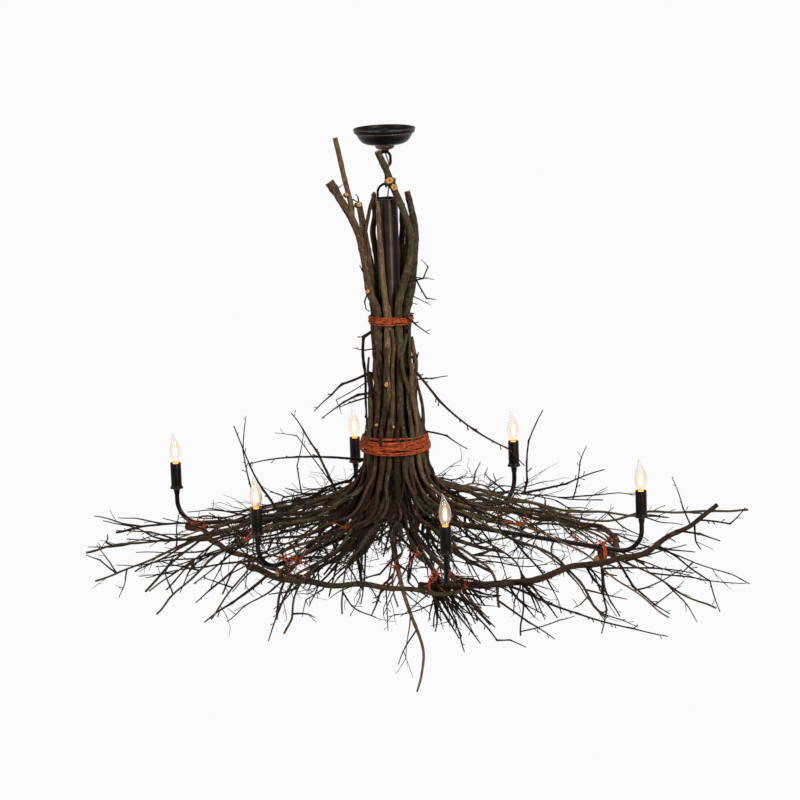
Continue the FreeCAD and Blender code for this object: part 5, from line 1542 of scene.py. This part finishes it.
def bindings(rings, lines):
    """The two windings round the bundle, the lashings on the rim and the wires in the skirt."""
    dice = random.Random(7)
    shape = Shape()
    strand_turns(shape, dice, 43.4, UPPER_LEVEL, 7.6, 7, 1.2, 1.3, 6)
    strand_turns(shape, dice, 70.0, LOWER_LEVEL + 10, 15.6, 13, 1.3, 2.0, 14)
    rim_wraps(shape, dice, rings)
    tufts(shape, dice, lines)
    dress(shape.make("wire_bindings_strands", RUST), "fixture", "rusted_wire", "wire_bindings")


# ------------------------------------------------------------------------------ metal

AXIS = (0, 0, 0)
CANOPY_WALL = 1.2


def turned(outline, rounding, sides=64, centres=(AXIS,), steps=3):
    """A shape turned from an outline with softened corners, once at each centre."""
    shape = Shape()
    for centre in centres:
        lathe(shape, rounded(outline, rounding, steps), centre, sides)
    return shape


def canopy():
    """The dish with its rolled lip, a lighter line on the lip that is a painted highlight, and the copper-coloured
    ring nut.
    """
    outline = [
        (5.2, -32), (29, -32), (37.5, -30.6), (45.5, -27), (51.5, -20), (55.6, -12.2), (58.6, -9.6), (60.4, -6.4),
        (62.4, -1.2), (62.2, 0), (60.2, 0), (58.6, -5.6), (56.2, -8.6), (53.6, -12.6), (49.8, -19.4), (44.4, -25.8),
        (37, -29.3), (29, -32 + CANOPY_WALL), (5.2, -32 + CANOPY_WALL),
    ]
    dish = turned(outline, 1.6, 96).make("canopy_dish_turned", DARK_BRONZE)
    dress(dish, "canopy", "dark_bronze", "canopy_dish")
    # The lighter line on the lip is a painted highlight.
    line = turned([(59.2, -8.4), (60.9, -8.0), (61.2, -6.7), (60.2, -5.9)], 0.4, 96)
    dress(line.make("canopy_lip_highlight", LIP_HIGHLIGHT_BRONZE), "canopy", "copper_bronze")
    collar = [(8.2, -42), (13.6, -42), (16.4, -40.6), (19.3, -37.2), (19.5, -33.6), (18.8, -32.2), (8.2, -32.2)]
    nut = turned(collar, 0.8, 72).make("screw_collar_turned", COPPER_BRONZE)
    dress(nut, "canopy", "copper_bronze", "screw_collar")
    for number, level in ((1, -35.0), (2, -37.6)):
        ring = turned([(19.2, level), (19.75, level + 0.4), (19.2, level + 0.9)], 0.2, 72, steps=2)
        dress(ring.make("collar_bead_%d" % number, DARK_BRONZE), "canopy", "dark_bronze")


def oval_line(width, top, bottom, sideways):
    """A closed upright oval of centre-line points."""
    radius = width / 2
    points = []
    for middle, first in ((top - radius, 0), (bottom + radius, 180)):
        for step in range(17):
            angle = math.radians(first + 11.25 * step)
            across, height = radius * math.cos(angle), middle + radius * math.sin(angle)
            points.append((0, across, height) if sideways else (across, 0, height))
    return np.array(points)


def closed_tube(shape, line, radius):
    """A closed loop of tube whose ends meet."""
    normal = unit(np.cross(line[4] - line[0], line[8] - line[4]))
    angles = ring_angles(16)[:, None]
    rings = []
    for back, here, ahead in zip(np.roll(line, 1, 0), line, np.roll(line, -1, 0)):
        out = np.cross(unit(ahead - back), normal)
        rings.append(here + radius * (out[None, :] * np.cos(angles) + normal[None, :] * np.sin(angles)))
    add_rings(shape, np.array(rings), np.arange(len(rings) + 1) / len(rings), 0, 0.5, closed=True)


def hanging_metal():
    """The cast loop with its head, the chain link and the hoop over the stem."""
    shape = Shape()
    closed_tube(shape, oval_line(20.8, -47.25, -77.25, False), 2.75)
    head = [(3.4, -50), (6.2, -50), (8, -47.5), (8, -32.2), (3.4, -32.2)]
    lathe(shape, rounded(head, 0.8), AXIS, 40)
    dress(shape.make("canopy_loop_cast", DARK_BRONZE), "canopy", "dark_bronze", "canopy_loop")
    shape = Shape()
    closed_tube(shape, oval_line(18, -71.7, -116.8, True), 2.5)
    dress(shape.make("chain_link_rod", DARK_BRONZE), "chain_link", "dark_bronze", "chain_link")
    shape = Shape()
    leg, apex = 17.45, -111.5
    points = [(leg, 0, -166), (leg, 0, -148)]
    for step in range(17):
        angle = math.pi * step / 16
        points.append((leg * math.cos(angle), 0, apex - leg + leg * math.sin(angle)))
    points += [(-leg, 0, -148), (-leg, 0, -166)]
    line, sizes = smooth_line(points, [2.5] * len(points), 1.6)
    beads = 1 + 0.07 * np.sin(np.arange(len(line)) * 1.35)
    tube(shape, line, sizes, 14, 0, 0.5, beads[:, None])
    dress(shape.make("bail_hoop_rod", DARK_BRONZE), "fixture", "dark_bronze", "bail_hoop")


def stem():
    """The drawn tube and the domed screws that hold the hoop to it."""
    outer, inner = STEM_RADIUS, STEM_RADIUS - STEM_WALL
    outline = [(inner, STEM_BOTTOM), (outer, STEM_BOTTOM), (outer, STEM_TOP), (inner, STEM_TOP)]
    drawn = turned(outline, 0.35, 72).make("stem_tube_drawn", TUBE_BRONZE)
    dress(drawn, "fixture", "dark_bronze", "stem_tube")
    shape = Shape()
    for side in (1, -1):
        points = [(side * x, 0, -152) for x in (20.0, 21.9, 22.3, 23.1, 23.5)]
        tube(shape, np.array(points, float), np.array([1.6, 3.5, 3.5, 2.9, 0.4]), 20)
    dress(shape.make("hoop_screws_domed", DARK_BRONZE), "fixture", "dark_bronze", "hoop_screws")


def arm_line(reach):
    """An arm's centre line as (distance, height)."""
    middle = (reach - ARM_BEND, ARM_LOW + ARM_BEND)
    far = math.dist(middle, (HUB_FLAT, HUB_MIDDLE))
    slant = math.atan2(middle[1] - HUB_MIDDLE, middle[0] - HUB_FLAT) - math.asin(ARM_BEND / far)
    line = [(HUB_FLAT, HUB_MIDDLE)]
    steps = 16
    for step in range(steps + 1):
        angle = slant - math.pi / 2 + (math.pi / 2 - slant) * step / steps
        line.append((middle[0] + ARM_BEND * math.cos(angle), middle[1] + ARM_BEND * math.sin(angle)))
    line.append((reach, FLANGE_LEVEL - CUP_HEIGHT + ARM_SEAT))
    return line


def arms():
    """Each arm as a tube from the hub into its cup."""
    for number, (reach, bearing) in enumerate(CANDLES, start=1):
        shape = Shape()
        line = [np.array(around(distance, bearing, height)) for distance, height in arm_line(reach)]
        line[1:1] = [line[0] + (line[1] - line[0]) * share for share in (0.25, 0.5, 0.75, 0.98)]
        tube(shape, np.array(line), np.full(len(line), ARM_RADIUS), 24)
        dress(shape.make("arm_%d_tube" % number, BLACK_BRONZE), "fixture", "black_bronze", "arm_%d" % number)


def candles():
    """The cups with the lighter edges of their rims (rubbed wear with a painted highlight), the covers and the
    sockets inside them.
    """
    centres = [around(reach, bearing, FLANGE_LEVEL) for reach, bearing in CANDLES]
    cup = [
        (4.8, -17), (5.2, -17), (6.2, -10), (6.7, -5), (11.6, -4.6), (13.2, -3.6), (13.75, -2.2), (13.2, -0.8),
        (12.0, 0.4), (11.4, 3), (0.4, 0), (0.4, -8), (4.8, -8),
    ]
    # The lighter ring at the edge of each cup's rim: rubbed wear with a painted highlight.
    rim = [(12.6, -4.3), (13.5, -3.9), (13.9, -2.9), (12.9, -3.2)]
    sleeve = [(10.05, 0), (11.25, 0), (11.25, SLEEVE_HEIGHT), (10.05, SLEEVE_HEIGHT)]
    socket = [(0.3, 0), (8.5, 0), (8.5, SOCKET_HEIGHT), (6.3, SOCKET_HEIGHT), (6.3, 20), (0.3, 20)]
    for name, outline, rounding, sides, material, slot, *nodes in (
        ("cups_spun", cup, 0.5, 48, BLACK_BRONZE, "black_bronze", "cups"),
        ("cup_rims_rubbed", rim, 0.25, 48, LIP_HIGHLIGHT_BRONZE, "copper_bronze"),
        ("candle_sleeves_drawn", sleeve, 0.4, 48, BLACK_BRONZE, "black_bronze", "candle_sleeves"),
        ("lamp_sockets_moulded", socket, 0.5, 32, SOCKET_BLACK, "socket_black", "lamp_sockets"),
    ):
        dress(turned(outline, rounding, sides, centres).make(name, material), "fixture", slot, *nodes)


GLASS_WALL = 0.7
# The bulb's outline from its neck to its tip, as shares of its height and of its widest radius.
BULB_OUTLINE = [
    (0, 0.46), (0.05, 0.46), (0.12, 0.6), (0.22, 0.86), (0.3, 0.97), (0.38, 1), (0.47, 0.97), (0.56, 0.88),
    (0.67, 0.68), (0.78, 0.45), (0.88, 0.26), (0.96, 0.13), (1, 0.07),
]


def bulb_line(foot):
    """The bulb's centre line and radii, its tip bent like a flame."""
    points, radii = [], []
    for share, width in BULB_OUTLINE:
        lean = 4 * max(0, share - 0.5) ** 2 * BULB_RADIUS / 3
        points.append(foot + np.array([-lean, 0, share * BULB_HEIGHT]))
        radii.append(width * BULB_RADIUS)
    return smooth_line(points, radii, 1.8)


def bulbs():
    """Each bulb as glass, screw base, filament and glow."""
    for number, (reach, bearing) in enumerate(CANDLES, start=1):
        body = "bulb_%d" % number
        foot = np.array(around(reach, bearing, BULB_FOOT))
        line, sizes = bulb_line(foot)
        shape = Shape()
        glass_tube(shape, line, sizes, GLASS_WALL)
        dress(shape.make("bulb_glass_%d_blown" % number, GLASS), body, "bulb_glass", "bulb_glass_%d" % number)
        shape = Shape()
        thread = [(5.9 - 0.45 * (step % 2), -20 + 1.0 * step) for step in range(2, 19)]
        lathe(shape, [(0.2, -20), (2.4, -20), (3.2, -18.8)] + thread + [(5.9, -0.6), (5.6, 0), (0.2, 0)], foot, 32)
        dress(shape.make("bulb_base_%d_thread" % number, BRASS), body, "bulb_brass", "bulb_base_%d" % number)
        shape = Shape()
        filament(shape, foot)
        dress(shape.make("bulb_filament_%d" % number, FILAMENT, BRASS), body, "bulb_brass")
        shape = Shape()
        glow(shape, line, sizes)
        dress(shape.make("bulb_glow_%d" % number, *GLOW), body, "bulb_glass")


def glass_tube(shape, line, sizes, wall):
    """A blown shell: the outer skin, and the inner one turned inwards; v of its uv is the share of the height."""
    angles = ring_angles(28)
    for inner in (False, True):
        reach = (np.maximum(sizes - wall, 0.1) if inner else sizes)[:, None]
        flat = np.zeros((len(line), len(angles)))
        rings = line[:, None, :] + np.stack([reach * np.cos(angles), reach * np.sin(angles), flat], 2)
        add_rings(shape, rings, np.arange(len(line)) / (len(line) - 1), 0, 0.5, turned=inner)
        for end, level in ((0, 0.0), (-1, 1.0)):
            close_end(shape, rings[end], line[end], 0, 0.5, (end == 0) != inner, ((0, level),) * 3)


def glow(shape, line, sizes):
    """The lit gas round the filament, as three shells inside one another, each brighter than the last."""
    for slot, (width, low, high) in enumerate(((0.72, 0.12, 0.8), (0.46, 0.18, 0.68), (0.27, 0.22, 0.58))):
        part = slice(int(len(line) * low), int(len(line) * high))
        shares = np.linspace(-1, 1, len(line[part]))
        ease = np.sqrt(np.clip(1 - shares ** 4, 0.0004, 1))
        tube(shape, line[part], np.maximum(sizes[part] * width * ease, 0.1), 20, slot)


def filament(shape, foot):
    """Two support wires from the stem press, and the glowing hairpin coil between their tips."""
    for side in (-1, 1):
        post = np.array([foot + np.array([side * x, 0, z]) for x, z in ((1.2, 1), (1.6, 8), (2.6, 16), (2.8, 20))])
        tube(shape, post, np.full(4, 0.3), 6, 1)
    coil = []
    for step in range(97):
        share = step / 96
        across = 2.8 * math.cos(math.pi * share)
        rise = 20 + 15 * math.sin(math.pi * share)
        turn = 2 * math.pi * 16 * share
        coil.append(foot + np.array([across, 0.9 * math.cos(turn), rise + 0.9 * math.sin(turn)]))
    tube(shape, np.array(coil), np.full(97, 0.34), 6, 0)


# ------------------------------------------------------------------------------ supply wire

WIRE_IN_LOOP = [(0, 0, -44), (1.2, -0.2, -53), (5, -1.6, -62), (6.4, -5.6, -71), (6.2, -8.6, -81), (6, -9, -91.7)]
WIRE_IN_STEM = [(6, -9, -92.3), (5.8, -8.9, -103), (5.2, -8, -114), (4, -5.5, -125), (2.4, -3, -136), (1.5, -2, -148)]


def wire_curve(name, route):
    """The points of the smooth spline that the route's points control."""
    curve = bpy.data.curves.new(name, "CURVE")
    curve.dimensions = "3D"
    curve.resolution_u = 12
    spline = curve.splines.new("NURBS")
    spline.points.add(len(route) - 1)
    for point, place in zip(spline.points, route):
        point.co = (*[value * MM for value in place], 1)
    spline.order_u = 3
    spline.use_endpoint_u = True
    holder = add_to_scene(name, curve)
    bpy.context.view_layer.update()
    mesh = bpy.data.meshes.new_from_object(holder)
    points = np.array([vertex.co for vertex in mesh.vertices])
    bpy.data.objects.remove(holder)
    return points / MM


def supply_wires():
    """The supply wire's two halves, each a fixed curve along its route between the two bodies that it joins; neither
    is put on a body.
    """
    for label, route, bodies, span in (
        ("supply_wire_upper", WIRE_IN_LOOP, ("canopy", "chain_link"), (-50, -86)),
        ("supply_wire_lower", WIRE_IN_STEM, ("chain_link", "fixture"), (-96, -134)),
    ):
        points = wire_curve(label + "_line", route)
        shape = Shape()
        tube(shape, points, np.full(len(points), SUPPLY_WIRE_RADIUS), 12)
        thing = shape.make(label + "_lead", WIRE_COVER)
        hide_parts(label)
        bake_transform(thing)


# ------------------------------------------------------------------------------ the whole

def paint(node, material):
    """Give a solid that shows as it is its material."""
    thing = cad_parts[node]
    thing.data.materials.clear()
    thing.data.materials.append(material)


def floor():
    """The pale stage below, far wider than the view."""
    mesh = bpy.data.meshes.new("floor")
    corners = [(x * FLOOR_HALF * MM, y * FLOOR_HALF * MM, FLOOR_LEVEL * MM)
               for x, y in ((-1, -1), (1, -1), (1, 1), (-1, 1))]
    mesh.from_pydata(corners, [], [(0, 1, 2, 3)])
    mesh.materials.append(pale_stage("pale_floor"))
    thing = add_to_scene("floor", mesh)


add_camera()
add_world()
add_sun("key", (2.3, -3.2, 1.7), 2.7, 10)
add_sun("low", (2.1, -3.5, -0.55), 0.8, 8)
add_sun("fill", (-3.2, -2.0, 1.2), 1.3, 16)
add_sun("back", (0.5, 3.0, 2.4), 0.9, 40)
floor()
supply_wires()
sticks, wraps = grow_wood()
lines = wood_pieces(sticks)
bindings(wraps, lines)
canopy()
hanging_metal()
stem()
arms()
candles()
bulbs()
paint("hub_body", DARK_BRONZE)
for node in ("mounting_strap", "threaded_nipple", "locknuts"):
    paint(node, STEEL)

bpy.context.scene.view_settings.view_transform = "Standard"
bpy.context.view_layer.update()
